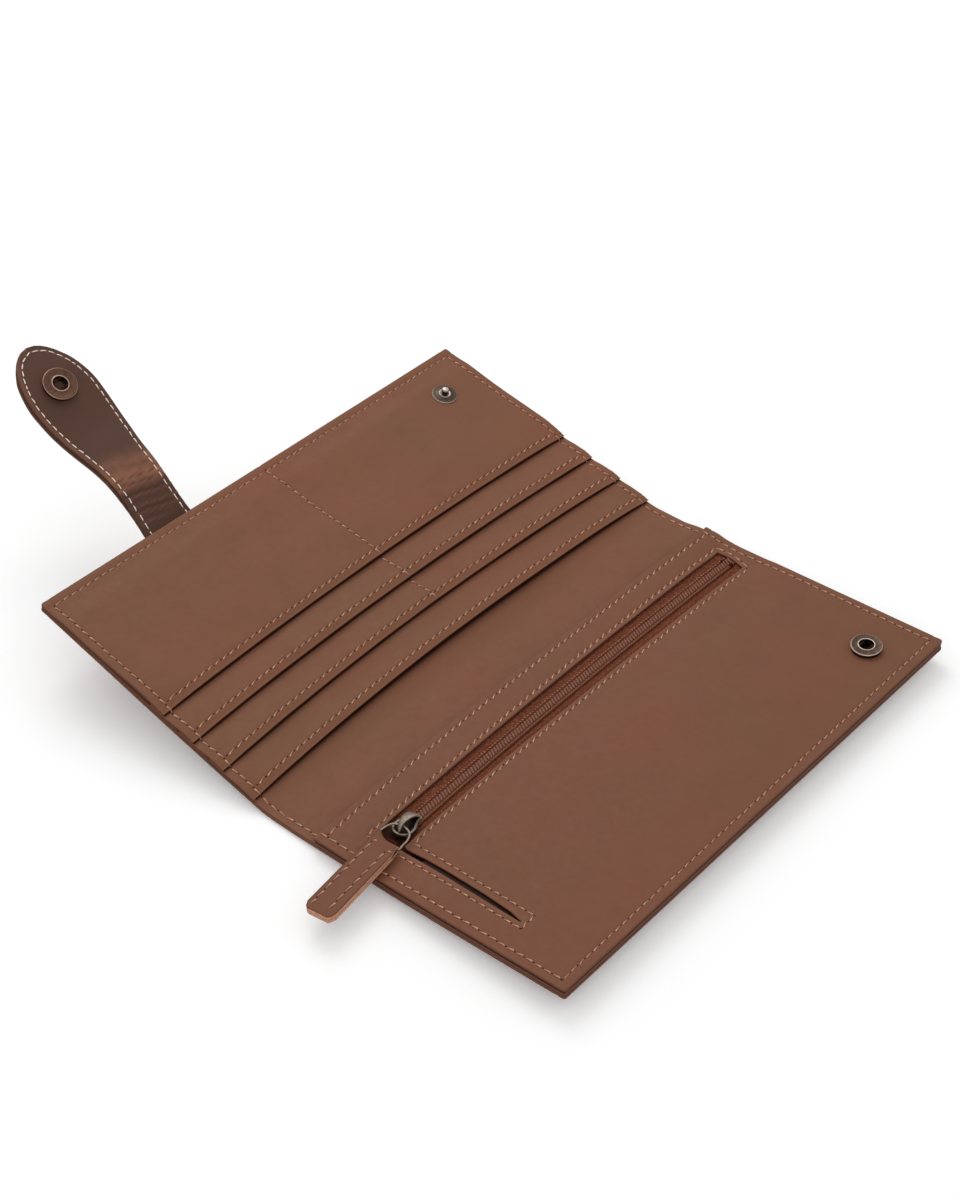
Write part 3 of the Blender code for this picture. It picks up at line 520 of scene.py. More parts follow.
def layer(columns, rows, top, bottom, place, opening=None, warp=None):
    """A sheet of leather or cloth as a closed shell. Its grid lines are given, and its upper and
    lower faces follow two height functions. Cells that opening() names are cut out first."""
    bpy.ops.object.select_all(action="DESELECT")
    bpy.ops.mesh.primitive_grid_add(
        x_subdivisions=len(columns) - 1, y_subdivisions=len(rows) - 1, size=1, location=(0, 0, 0)
    )
    piece = bpy.context.active_object
    if opening is not None:
        bpy.ops.object.mode_set(mode="EDIT")
        bpy.ops.mesh.select_all(action="DESELECT")
        form = bmesh.from_edit_mesh(piece.data)
        for face in form.faces:
            middle = face.calc_center_median()
            i = int((middle.x + 0.5) * (len(columns) - 1))
            j = int((middle.y + 0.5) * (len(rows) - 1))
            s = (columns[i] + columns[i + 1]) / 2
            y = (rows[j] + rows[j + 1]) / 2
            face.select_set(bool(opening(s, y)))
        bmesh.update_edit_mesh(piece.data)
        bpy.ops.mesh.delete(type="FACE")
        bpy.ops.object.mode_set(mode="OBJECT")
    body = piece.modifiers.new("body", "SOLIDIFY")
    body.thickness = 0.5
    body.offset = 0
    bpy.ops.object.modifier_apply(modifier=body.name)
    flat = np.empty(len(piece.data.vertices) * 3)
    piece.data.vertices.foreach_get("co", flat)
    flat = flat.reshape(-1, 3)
    s = columns[np.rint((flat[:, 0] + 0.5) * (len(columns) - 1)).astype(int)]
    y = rows[np.rint((flat[:, 1] + 0.5) * (len(rows) - 1)).astype(int)]
    upper = flat[:, 2] > 0
    h = np.where(upper, top(s, y), bottom(s, y))
    where = place(*(warp(s, y) if warp else (s, y)), h)
    piece.data.vertices.foreach_set("co", where.astype(np.float32).ravel())
    piece.data.update()
    faces_out(piece)
    return piece, s, y, upper


def draw_end(piece, score, move):
    """In edit mode, draws out the face whose middle scores highest."""
    bpy.ops.mesh.select_all(action="DESELECT")
    form = bmesh.from_edit_mesh(piece.data)
    max(form.faces, key=lambda face: score(face.calc_center_median())).select_set(True)
    bmesh.update_edit_mesh(piece.data)
    bpy.ops.mesh.extrude_region_move(TRANSFORM_OT_translate={"value": move})


def drawn_out(depth, radius, sides, steps):
    """A short rod along X whose two ends are drawn out in steps of (reach, drop, size)."""
    bpy.ops.object.select_all(action="DESELECT")
    bpy.ops.mesh.primitive_cylinder_add(
        vertices=sides, radius=radius, depth=depth, end_fill_type="NGON", rotation=(0, math.pi / 2, 0)
    )
    piece = bpy.context.active_object
    bpy.ops.object.transform_apply(location=True, rotation=True, scale=True)
    bpy.ops.object.mode_set(mode="EDIT")
    for side, moves in steps.items():
        for reach, drop, size in moves:
            draw_end(piece, lambda middle: middle.x * side, (side * reach, 0, drop))
            bpy.ops.transform.resize(value=(1, size, size))
    bpy.ops.object.mode_set(mode="OBJECT")
    points = np.array([v.co for v in piece.data.vertices])
    faces = [tuple(p.vertices) for p in piece.data.polygons]
    bpy.data.objects.remove(piece)
    return points, faces


def hole_pattern():
    """The needle hole between two stitches: a small low dome, coloured dark as painted shade."""
    angles = np.linspace(0, 2 * math.pi, 7)[:-1]
    points = [(0.34 * math.cos(a), 0.26 * math.sin(a), 0) for a in angles] + [(0, 0, 0.05)]
    points += [(0.34 * math.cos(a), 0.26 * math.sin(a), -0.12) for a in angles] + [(0, 0, -0.14)]
    faces = [(n, (n + 1) % 6, 6) for n in range(6)]
    faces += [(7 + n, 7 + (n + 1) % 6, (n + 1) % 6, n) for n in range(6)]
    faces += [(7 + (n + 1) % 6, 7 + n, 13) for n in range(6)]
    return np.array(points), faces


# A stitch is plump where it dives into its hole and thin where it comes up
STITCH = drawn_out(1.0, THREAD, 6, {
    -1: ((0.45, -0.03, 0.82), (0.35, -0.12, 0.72), (0.12, -0.16, 0.6)),
    1: ((0.28, -0.06, 1.0), (0.18, -0.22, 0.85), (0.04, -0.16, 0.7)),
})
HOLE = hole_pattern()


def spaced(path, pitch):
    """Points a stitch apart along a path."""
    path = np.asarray(path, float)
    run = np.concatenate([[0], np.cumsum(np.hypot(*np.diff(path, axis=0).T))])
    count = max(1, int(round(run[-1] / pitch)))
    marks = np.linspace(0, run[-1], count + 1)
    return np.stack([np.interp(marks, run, path[:, n]) for n in (0, 1)], -1)


def turned(way, angle):
    c, s = math.cos(angle), math.sin(angle)
    return np.array([way[0] * c - way[1] * s, way[0] * s + way[1] * c])


def sew(name, paths, height, place, body, slot, thread=TAN_THREAD, hole=NEEDLE_HOLE, pitch=PITCH,
        side=1, size=1.0, slant=SLANT):
    """Rows of slanted stitches along paths on a surface, as one piece with its needle holes. Every
    row is sewn towards the wallet's near end or away from its fold."""
    points, faces, marks, highlight = [], [], [], []
    count = 0
    draw = np.random.default_rng(len(name) * 7 + 3)
    for path in paths:
        row = spaced(path, pitch)
        way = row[-1] - row[0]
        if way[1] > 0 if abs(way[1]) > abs(way[0]) else way[0] < 0:
            row = row[::-1]
        for a, b in zip(row[:-1], row[1:]):
            length = np.hypot(*(b - a))
            along = (b - a) / max(length, 1e-9)
            lean = slant * (1 if abs(along[1]) > abs(along[0]) else 0.4) + draw.normal(0, 0.06)
            for pattern, at, turn, stretch, mark, lift in (
                (STITCH, (a + b) / 2 - along * 0.18, lean, length / PITCH, 0, 0.10),
                (HOLE, b - along * 0.22, 0.5 * lean, 1.0, 1, 0.015),
            ):
                tangent = turned(along, turn)
                normal = turned(tangent, math.pi / 2)
                at = at + normal * draw.normal(0, 0.05)
                local = pattern[0] * (stretch, size, size)
                uv = at + local[:, :1] * tangent + local[:, 1:2] * normal
                h = height(uv[:, 0], uv[:, 1]) + side * (local[:, 2] + lift)
                points.append(place(uv[:, 0], uv[:, 1], h))
                faces += [tuple(v + count for v in face) for face in pattern[1]]
                marks += [mark] * len(pattern[1])
                # A painted highlight on each stitch's plump end, of random strength; the needle holes
                # get none
                shine = draw.uniform(0.35, 1.0) * (mark == 0)
                highlight.append(ramp(pattern[0][:, 0], 0.15, 0.75) * shine)
                count += len(local)
    piece = joined(name, points, faces)
    for finish in (thread, hole):
        piece.data.materials.append(finish)
    piece.data.polygons.foreach_set("material_index", marks)
    settle(piece, name, None, slot, body, 60, worn=np.concatenate(highlight))


def joined(name, points, faces):
    """One piece from many copies of a pattern."""
    mesh = bpy.data.meshes.new(name)
    mesh.from_pydata(np.concatenate(points).tolist(), [], faces)
    piece = bpy.data.objects.new(name, mesh)
    bpy.context.scene.collection.objects.link(piece)
    faces_out(piece)
    return piece


# Surfaces of the card half


def side_drop(s, y, outer=True):
    """Rounds a layer off at the wallet's two ends, and at the outer edge too."""
    fall = rounding(HALF_LENGTH - np.abs(y), 0.35)
    if outer:
        fall = np.maximum(fall, rounding(HALF_WIDTH - s, 0.35))
    return fall


def sewn(s, y, *rows):
    """How far the rows of stitches along the spine and at the two ends press a layer in."""
    return sum(0.18 * ridge(s, row, 0.5) for row in rows) + 0.14 * ridge(np.abs(y), ROW_Y, 0.55)


def hem(pocket, s, y):
    """How far a pocket's hem falls: it thins towards the mouth, ends in a sharp, barely rounded edge
    and is pressed flat by the end seams."""
    distance = s - pocket.edge
    thin = 0.6 * (1 - ramp(distance, 0, 3.0)) + rounding(distance, 0.16)
    return thin + 0.5 * ramp(np.abs(y), 85, 93.5) * (1 - ramp(distance, 3.0, 9.0))


def gape(pocket, s, y):
    """The pocket mouths stand open a little, the note pocket the most."""
    along = np.clip(1 - (np.asarray(y) / 93.0) ** 2, 0, 1) ** 0.7
    return pocket.gape * along * (1 - ramp(s, pocket.edge, pocket.edge + 8))


def strip_top(pocket, s, y):
    edge, base, _, low = pocket[:4]
    top = base + HEM - (HEM - STRIP + base - low) * np.clip((s - edge - 3.4) / 8.6, 0, 1)
    top = top - hem(pocket, s, y) - sewn(s, y, edge + HEM_ROW)
    top = top + ripple(y, s * 0.5, edge * 0.37, 0.16) * (1 - ramp(np.abs(y), 84, 93))
    return top + gape(pocket, s, y) - side_drop(s, y, False)


def mouth_bottom(pocket, s, y):
    """How far a pocket's leather is lifted and rounded off from below at its mouth and its ends."""
    distance = s - pocket.edge
    lift = 0.25 * (1 - ramp(distance, 0, 2.0)) + rounding(distance, 0.12)
    return lift + gape(pocket, s, y) * 0.95 + rounding(HALF_LENGTH - np.abs(y), 0.22)


def strip_bottom(pocket, s, y):
    bottom = pocket.base + 0 * s
    if pocket.step is not None:
        bottom = bottom - (pocket.base - pocket.low) * ramp(s, pocket.step, pocket.step + 2.0)
    return bottom + mouth_bottom(pocket, s, y)


def panel_seam(s):
    """How far the card panel falls towards its thin outer seam."""
    return 0.7 * ramp(s, 90, 97)


def card_panel_top(s, y):
    top = CARDS.base + HEM - 1.4 * ramp(s, CARDS.edge + 3.0, 82) - panel_seam(s)
    top = top - hem(CARDS, s, y) - sewn(s, y, CARDS.edge + HEM_ROW, CARD_ROW_S)
    top = top - 0.22 * ridge(y, seam_y(s), 0.6)
    calm = (1 - ramp(np.abs(y), 82, 92)) * (1 - ramp(s, 90, 99))
    top = top + (0.30 * ridge(y, -45, 30) + 0.30 * ridge(y, 48, 28)) * calm * ramp(s, 54, 66)
    top = top + ripple(s, y, 2.1, 0.16) * calm
    top = top - 0.25 * ridge(np.hypot(s - SNAP_S, y - SNAP_Y), 0, 5.5)
    return top + gape(CARDS, s, y) - side_drop(s, y)


def card_panel_bottom(s, y):
    bottom = CARDS.base - 0.7 * ramp(s, CARDS.step, 80) - panel_seam(s)
    return bottom + rounding(HALF_WIDTH - s, 0.15) + mouth_bottom(CARDS, s, y)


def seam_y(s):
    """The seam between the two columns of card slots, which runs a little askew."""
    return 0.8 + (100.7 - np.asarray(s, float)) * 0.036


def lining_top(s, y):
    top = LINING_TOP + 0 * s
    top = top + 0.16 * (1 - ramp(np.abs(s + FOLD_X), 2, 12)) * (1 - ramp(np.abs(y), 80, 93))
    return top - 0.12 * ridge(np.abs(y), ROW_Y, 0.5) - rounding(HALF_LENGTH - 0.3 - np.abs(y), 0.25)


def zip_lining_top(s, y):
    """On the zip half the lining rises to meet the panel's far corner."""
    return lining_top(s, y) + 1.15 * ramp(s, -2, 7.5) * (1 - ramp(s, 8.6, 12)) * ramp(y, 80, 94)


def card_surface(s, y):
    """The height of whatever lies on top, for the stitches and the needle."""
    s, y = np.broadcast_arrays(np.asarray(s, float), np.asarray(y, float))
    top = lining_top(s, y)
    for pocket in (NOTE, LOWER, UPPER):
        top = np.where(s >= pocket.edge, strip_top(pocket, s, y), top)
    return np.where(s >= CARDS.edge, card_panel_top(s, y), top)


# Surfaces of the zip half


ZIP_ROW_S = 98.9
PANEL_ROW = 10.9


def skewed(s, y):
    """Shifts grid lines so that those along the zip run askew, and the wallet's edges stay."""
    shift = -(np.asarray(y, float) - ZIP_Y) * math.tan(ZIP_SKEW)
    wider = 1.0 * ramp(y, -80, 60) * ramp(s, 26, 30) * (1 - ramp(s, 34, 55))
    return wider + shift * ramp(s, PANEL_EDGE + 3.4, 17.5) * (1 - ramp(s, 34.5, 60))


def zip_warp(s, y):
    """The panel's grid as it lies: round corners, a skewed zip, a window whose far end bows out."""
    s2, y2 = corner_turned(s, y)
    bow = np.interp(s, [17.0, 19.9, 23.3, 26.6, 30.0, 32.4], [0, 1.5, 2.1, 1.6, 0.3, 0])
    shut = np.interp(s, [30.1, 31.4, 38, 46, 62, 72, 76.6, 79], [0, 0.6, 0.2, 0, 0, 0.5, 1.5, 0])
    y2 = y2 - shut * np.interp(y, [SLIT_NEAR, SLIT_FAR, SLIT_FAR + 1.2, SLIT_ROW_Y], [0, 1, 0.6, 0])
    return s2 + skewed(s, y), y2 + bow * ramp(y, 74, WINDOW_LONG + ZIP_Y) * (1 - ramp(y, 87.5, 93.0))


def opening_distance(s, y):
    """How far a point of the unskewed panel is from the window or the slit."""
    left, right = ZIP_S - WINDOW_LEFT, ZIP_S + WINDOW_RIGHT
    low, high = SLIT_NEAR, ZIP_Y + WINDOW_LONG
    boxes = ((left, right, low, high), (right - 1, SLIT_END, SLIT_NEAR, SLIT_FAR))
    return np.minimum.reduce([
        np.hypot(np.maximum(np.maximum(a - s, s - b), 0), np.maximum(np.maximum(c - y, y - d), 0))
        for a, b, c, d in boxes
    ])


def in_opening(s, y):
    return opening_distance(s, y) < 1e-6


# The stitch rows round the L-shaped opening, in the panel's own skewed grid
LEFT_S = 18.25
RIGHT_S = 31.4
NEAR_Y = -85.4
SLIT_ROW_Y = -79.3
END_S = 78.4
LEFT_ROW = [(LEFT_S, 88.2), (LEFT_S, NEAR_Y)]
NEAR_ROW = [(LEFT_S, NEAR_Y), (END_S, NEAR_Y)]
END_ROW = [(END_S, SLIT_ROW_Y), (END_S, NEAR_Y)]
FAR_ROW = [(RIGHT_S, SLIT_ROW_Y), (END_S, SLIT_ROW_Y)]
RIGHT_ROW = [(RIGHT_S + 0.4, 86.4), (RIGHT_S, SLIT_ROW_Y)]
TOP_ROW = [(LEFT_S, 88.6), (20.2, 89.2), (23.2, 89.7), (26.4, 89.3), (29.4, 88.1),
           (RIGHT_S + 0.2, 86.7)]


def zip_panel_top(s, y):
    s, y = np.broadcast_arrays(np.asarray(s, float), np.asarray(y, float))
    left = (y > NEAR_Y) & (y < 88)
    right = left & (y > SLIT_ROW_Y)
    near = (s > 18) & (s < END_S + 0.1)
    far = near & (s > 31)
    rows = left * ridge(s, LEFT_S, 0.5) + right * ridge(s, RIGHT_S + 0.1, 0.5)
    rows = rows + near * ridge(y, NEAR_Y, 0.5) + far * ridge(y, SLIT_ROW_Y, 0.5)
    top = PANEL_TOP - sewn(s, y, ZIP_ROW_S, PANEL_ROW) - 0.18 * rows
    calm = (1 - ramp(np.abs(y), 84, 93)) * (1 - ramp(s, 90, 99))
    belly = ramp(s, 36, 52) * (1 - ramp(s, 80, 96)) * calm
    top = top + 0.42 * belly * (0.7 + 0.3 * np.cos((y - 12) / 60))
    top = top + ripple(s, y, 4.4, 0.13) * calm * ramp(s, 34, 44)
    top = top + ripple(y, s * 0.4, 1.3, 0.08) * calm * (1 - ramp(s, 14, 18))
    top = top - 0.30 * ridge(np.hypot(s - SNAP_S, y - SNAP_Y), 0, 6.0)
    # The pull needs room over both short borders
    short = 1 - ramp(y, -81, -74) + ramp(y, 77, 84)
    top = top - 0.28 * ramp(s, 14, 18) * (1 - ramp(s, 33, 38)) * short
    top = top - rounding(opening_distance(s, y), 0.45) * 0.9
    return top - np.maximum(side_drop(s, y), rounding(s - PANEL_EDGE, 0.4))


def zip_panel_bottom(s, y):
    fall = np.maximum(rounding(HALF_LENGTH - np.abs(y), 0.12), rounding(HALF_WIDTH - s, 0.12))
    return PANEL_BASE + rounding(opening_distance(s, y), 0.3) + fall


def zip_surface(s, y):
    s, y = np.broadcast_arrays(np.asarray(s, float), np.asarray(y, float))
    return np.where(s >= PANEL_EDGE, zip_panel_top(s, y), zip_lining_top(s, y))


def zip_seen(s, y, h):
    """Places a point given in the panel's skewed grid."""
    return zip_place(s + skewed(s, y), y, h)


CUT_FACE = 0.03  # grid points nearer an edge than this lie on its cut face


def low_edge(y, upper):
    """Painted shade for the foot of a layer's cut face along the two ends, where it meets the layer
    under it.
    """
    return 0.9 * (HALF_LENGTH - np.abs(y) < CUT_FACE) * (1 - upper)


def edge_paint(y, edges, mouth=99.0, seed=1.0):
    """Paint for the cut faces of a layer, and for the faint wear along its edges and its mouth."""
    gap = np.minimum(np.minimum.reduce(edges), mouth)
    worn = 0.16 * (1 - ramp(gap, 0.1, 1.4)) * (0.6 + 0.4 * np.sin(y / 7.0 + seed))
    worn = np.maximum(worn, 0.14 * (1 - ramp(mouth, 0.3, 2.0)))
    return {"cut": np.where(gap < CUT_FACE, 1.0, 0.0), "worn": worn}


# Covers and linings


BLEND = 5.0  # how far to either side of a fold the fine grid lines and the ends given with the two bodies reach
FOLD_GRID = (0.0, np.linspace(-BLEND, BLEND, 15))


def fold_blend(side, body):
    """The two bodies for a leather over the fold, and the two ends of the stretch between them."""
    return body, "spine", *((side * (FOLD_X + reach) * MM, 0, COVER * MM) for reach in (BLEND, -BLEND))


def make_covers():
    rows = grid_along(4.0)
    for side, name, body, replaced, row_s in (
        (-1, "cover_leather_card", "card_half", ("cover_card", "cover_spine"), CARD_ROW_S),
        (1, "cover_leather_zip", "zip_half", ("cover_zip",), ZIP_ROW_S),
    ):
        def top(s, y):
            return -0.02 - rounding(HALF_LENGTH - np.abs(y), 0.12) + 0 * s

        def bottom(s, y):
            dent = 0.14 * (ridge(s, row_s, 0.5) + ridge(np.abs(y), ROW_Y, 0.5) * (s > 0))
            wrinkle = 0.05 * np.sin(s * 2.6 + y * 0.05) * ridge(s, 0, 3.0)
            return -COVER + side_drop(s, y) + dent + wrinkle

        columns = grid_out(-FOLD_X, 3.0, row_s, FOLD_GRID)
        piece, s, y, upper = layer(columns, rows, top, bottom, PLACES[side], None, corner_turned)
        settle(piece, name, LEATHER, "leather", fold_blend(side, body), replaced=replaced,
               **edge_paint(y, (HALF_LENGTH - np.abs(y), HALF_WIDTH - s), seed=2.0), deep=0, shade=0)

    end = HALF_LENGTH - 0.3
    for side, name, body, top, lap, shade, replaced in (
        (-1, "lining_leather_card", "card_half", lining_top, NOTE.edge, 0.4,
         ("lining_card", "lining_spine")),
        (1, "lining_leather_zip", "zip_half", zip_lining_top, PANEL_EDGE, 0.1,
         ("zip_pocket_back",)),
    ):
        def bottom(s, y):
            return 0.08 + 0 * s

        columns = lines(-FOLD_X, HALF_WIDTH - 0.4, 3.0, FOLD_GRID, (lap, [-1.0, -0.7, -0.4, -0.1, 0.3]))
        inner_rows = rows * end / HALF_LENGTH
        piece, s, y, upper = layer(columns, inner_rows, top, bottom, PLACES[side], None, corner_turned)
        # Painted deep shade on the lining under the mouth that laps over it, and painted shade in a
        # band along that mouth
        under = ramp(s, lap - 0.7, lap + 0.1) * (np.abs(y) < 94) * upper
        settle(piece, name, LEATHER, "lining", fold_blend(side, body), replaced=replaced,
               **edge_paint(y, (end - np.abs(y),)), deep=under, shade=shade * ridge(s, lap, 1.4))


def make_card_leather():
    rows = grid_along(2.5, corners=False)
    for name, pocket, lap in (
        ("note_pocket_strip", NOTE, LOWER.edge),
        ("lower_card_strip", LOWER, UPPER.edge),
        ("upper_card_strip", UPPER, CARDS.edge),
    ):
        edge = pocket.edge
        columns = lines(edge, pocket.end, 1.2, (edge, MOUTH), groove(edge + HEM_ROW),
                        (lap, [-0.9, -0.6, -0.35, -0.1, 0.3]))
        top, bottom = partial(strip_top, pocket), partial(strip_bottom, pocket)
        piece, s, y, upper = layer(columns, rows, top, bottom, card_place)
        # Painted deep shade on the mouth's cut face, under the next layer's mouth and at the foot of
        # the ends; painted shade in a band by the next mouth and on the underside
        under = ramp(s, lap - 0.6, lap - 0.1) * upper * (np.abs(y) < HALF_LENGTH - 0.2)
        deep = np.maximum(np.where(s - edge < CUT_FACE, 0.6, under), low_edge(y, upper))
        shade = 0.35 * ridge(s, lap - 0.2, 0.9) + np.where(upper, 0, 0.5)
        settle(piece, name + "_leather", LEATHER, "leather", "card_half", replaced=(name,),
               **edge_paint(y, (HALF_LENGTH - np.abs(y),), s - edge, edge), deep=deep, shade=shade)

    edge = CARDS.edge
    rows = grid_along(2.5, (1.6, np.linspace(-2.4, 2.4, 11)))
    columns = grid_out(edge, 1.6, CARD_ROW_S, (edge, MOUTH), groove(edge + HEM_ROW))
    piece, s, y, upper = layer(
        columns, rows, card_panel_top, card_panel_bottom, card_place, None, corner_turned
    )
    edges = edge_paint(y, (HALF_LENGTH - np.abs(y), HALF_WIDTH - s), s - edge, 5.0)
    # Painted deep shade on the mouth's cut face and at the foot of the ends, and painted shade on the
    # underside
    deep = np.maximum(np.where(s - edge < CUT_FACE, 0.6, 0), low_edge(y, upper))
    settle(piece, "card_panel_leather", LEATHER, "leather", "card_half", replaced=("card_panel",),
           **edges, deep=deep, shade=np.where(upper, 0, 0.4))


def make_zip_leather():
    left, right = ZIP_S - WINDOW_LEFT, ZIP_S + WINDOW_RIGHT
    ring = (0.0, 0.06, 0.16, 0.32, 0.55)
    rows = grid_along(2.5, inward(SLIT_NEAR, ring), (SLIT_FAR, ring), (ZIP_Y + WINDOW_LONG, ring),
                      groove(NEAR_Y), groove(SLIT_ROW_Y))
    columns = grid_out(PANEL_EDGE, 2.0, ZIP_ROW_S, (PANEL_EDGE, [0.0, 0.06, 0.16, 0.3, 0.45]),
                       groove(PANEL_ROW), inward(left, ring), (right, ring), (SLIT_END, ring),
                       groove(LEFT_S), groove(RIGHT_S + 0.1), groove(END_S))
    rows = pinned(rows, (SLIT_NEAR, SLIT_FAR, ZIP_Y + WINDOW_LONG))
    columns = pinned(columns, (left, right, SLIT_END))
    piece, s, y, upper = layer(
        columns, rows, zip_panel_top, zip_panel_bottom, zip_place, in_opening, zip_warp
    )
    # Painted deep shade on the opening's walls, stronger in the slit, and at the foot of the ends;
    # painted shade on those walls and the underside, and the whole top painted a little darker
    opening = opening_distance(s, y)
    rim = opening < CUT_FACE
    settle(piece, "zip_panel_leather", LEATHER, "leather", "zip_half", replaced=("zip_panel",),
           **edge_paint(y, (HALF_LENGTH - np.abs(y), HALF_WIDTH - s), opening, 5.0),
           deep=np.maximum((0.25 + 0.65 * (s > 31)) * rim, low_edge(y, upper)),
           shade=np.where(upper, 0.13, 0.3) + 0.5 * rim)

    # The turned allowance under the panel's border shows as a second layer at the edges
    near, end, out = PANEL_EDGE + 0.5, HALF_LENGTH - 0.15, HALF_WIDTH - 0.15
    marks = (0, 0.1, 0.3, 6)
    rows = lines(-end, end, 4.0, (-end, marks), inward(end, marks))
    columns = lines(near, out, 4.0, (near, [0, 0.1, 5.3]), inward(out, marks))

    def inside(s, y):
        return PANEL_EDGE + 5.8 < s < HALF_WIDTH - 6.2 and abs(y) < HALF_LENGTH - 6.2

    piece, s, y, upper = layer(
        columns, rows,
        lambda a, b: 1.24 - rounding(end - np.abs(b), 0.15) + 0 * a,
        lambda a, b: 0.10 + rounding(end - np.abs(b), 0.1) + 0 * a,
        zip_place, inside, corner_turned,
    )
    edges = (end - np.abs(y), out - s)
    # Painted deep shade over the layer apart from its cut faces, and painted shade, so it reads as a
    # dark gap line between the panel and the cover
    settle(piece, "zip_border_leather", LEATHER, "leather", "zip_half",
           **edge_paint(y, edges, seed=3.0), deep=0.9 * (np.minimum(*edges) > 0.05), shade=0.5)


def pinned(marks, places):
    """Moves the nearest grid line exactly on to each place that an opening needs."""
    marks = np.array(marks)
    for place in places:
        marks[np.argmin(np.abs(marks - place))] = place
    return marks


# Stitches


def make_stitches():
    out = CARD_ROW_S
    rows = [[(4.9, -ROW_Y), (out, -ROW_Y)], [(out, ROW_Y), (4.9, ROW_Y)]]
    for pocket in POCKETS:
        rows.append([(pocket.edge + HEM_ROW, -ROW_Y + 1), (pocket.edge + HEM_ROW, ROW_Y - 1)])
    for high, low in ((99.6, 44.9), (44.3, 31.7), (31.1, 18.6)):
        rows.append([(s, float(seam_y(s))) for s in (high, low)])
    card = card_surface, card_place, "card_half", "leather"
    sew("card_half_stitches", rows, *card, slant=-0.8 * SLANT)
    sew("card_edge_stitches", [[(out, -ROW_Y), (out, ROW_Y)]], *card, size=0.72, slant=-0.1)
    rows = [
        [(8.6, -ROW_Y), (ZIP_ROW_S, -ROW_Y)],
        [(ZIP_ROW_S, ROW_Y), (8.6, ROW_Y)],
        [(PANEL_ROW, ROW_Y - 0.6), (PANEL_ROW, -ROW_Y + 0.6)],
        LEFT_ROW, NEAR_ROW, END_ROW, FAR_ROW, RIGHT_ROW, TOP_ROW,
    ]
    panel = zip_surface, zip_seen, "zip_half", "leather"
    sew("zip_half_stitches", rows, *panel)
    sew("zip_edge_stitches", [[(ZIP_ROW_S, -ROW_Y), (ZIP_ROW_S, ROW_Y)]], *panel, size=0.8, slant=0.12)
    for side, name, body, surface, end in (
        (-1, "spine_stitches_card", "card_half", lining_top, 4.7),
        (1, "spine_stitches_zip", "zip_half", zip_lining_top, 8.0),
    ):
        rows = [[(-5.8, y), (end, y)] for y in (-ROW_Y, ROW_Y)]
        sew(name, rows, surface, PLACES[side], fold_blend(side, body), "leather")
    for side, name, body, row in (
        (-1, "cover_stitches_card", "card_half", CARD_ROW_S),
        (1, "cover_stitches_zip", "zip_half", ZIP_ROW_S),
    ):
        corners = (1.5, -ROW_Y), (row, -ROW_Y), (row, ROW_Y), (1.5, ROW_Y)
        rows = [list(pair) for pair in zip(corners[:-1], corners[1:])]
        sew(name, rows, lambda a, b: -COVER + 0.14 + 0 * a, PLACES[side], body, "leather", side=-1)


# Zip


def zip_frame_place(x, y, h, drift=1.0):
    """Points given across and along the zip's own centre line."""
    x, y = np.asarray(x), np.asarray(y)
    c, s = math.cos(ZIP_SKEW), math.sin(ZIP_SKEW)
    return zip_place(ZIP_S + x * c - y * s, ZIP_Y + x * s + y * c, h, drift)


CHAIN_NEAR = -76.0
CHAIN_FAR = 85.9
RIB_PITCH = 1.23


def make_tapes():
    for name, side in (("zip_tape_left", -1), ("zip_tape_right", 1)):
        columns = lines(0.15, 8.2, 0.45, (0.15, [0.0, 0.1, 0.25]))
        rows = lines(-87.25, 87.25, 1.2)

        def top(a, b):
            weave = 0.05 * np.sin(a / 1.05 * 6.283) + 0.05 * np.sin(b / 1.9 * 6.283 + a * 2)
            fall = 0.2 * (1 - ramp(a, 1.8, 2.4)) + rounding(a - 0.15, 0.25)
            return TAPE_TOP - 0.08 + weave * (a > 3.0) - fall

        def place(a, b, h):
            return zip_frame_place(side * a, b, h)

        piece, a, b, _ = layer(columns, rows, top, lambda a, b: TAPE_BASE + 0 * a, place)
        # Painted shade on the tape along the chain and at its near end, under the slider
        dark = np.maximum(0.7 * (1 - ramp(a, 1.7, 2.3)), 0.95 * (1 - ramp(b, -80.5, -76.0)))
        settle(piece, name + "_woven", TAPE, "zip_tape", "zip_half", 60, (name,), shade=dark)


def repeated(name, pattern, spots, finish, lean=0.0, jitter=0.0, replaced=()):
    """Copies of a small pattern along the zip, each at its place across, along and over the cover."""
    draw = np.random.default_rng(len(name))
    points, faces, dark = [], [], []
    count = 0
    for across, along, height in spots:
        local = pattern[0] * (1, 1, 1 + draw.normal(0, jitter))
        x = across + local[:, 0] + draw.normal(0, jitter * 0.3)
        y = along + local[:, 1] + lean * local[:, 0] + draw.normal(0, jitter * 0.3)
        points.append(zip_frame_place(x, y, height + local[:, 2]))
        faces += [tuple(v + count for v in face) for face in pattern[1]]
        # Painted shade on the lower part of each copy
        dark.append(0.75 * ramp(-pattern[0][:, 2], -0.12, 0.30))
        count += len(local)
    piece = joined(name, points, faces)
    settle(piece, name, finish, "zip_teeth", "zip_half", 60, replaced, shade=np.concatenate(dark))


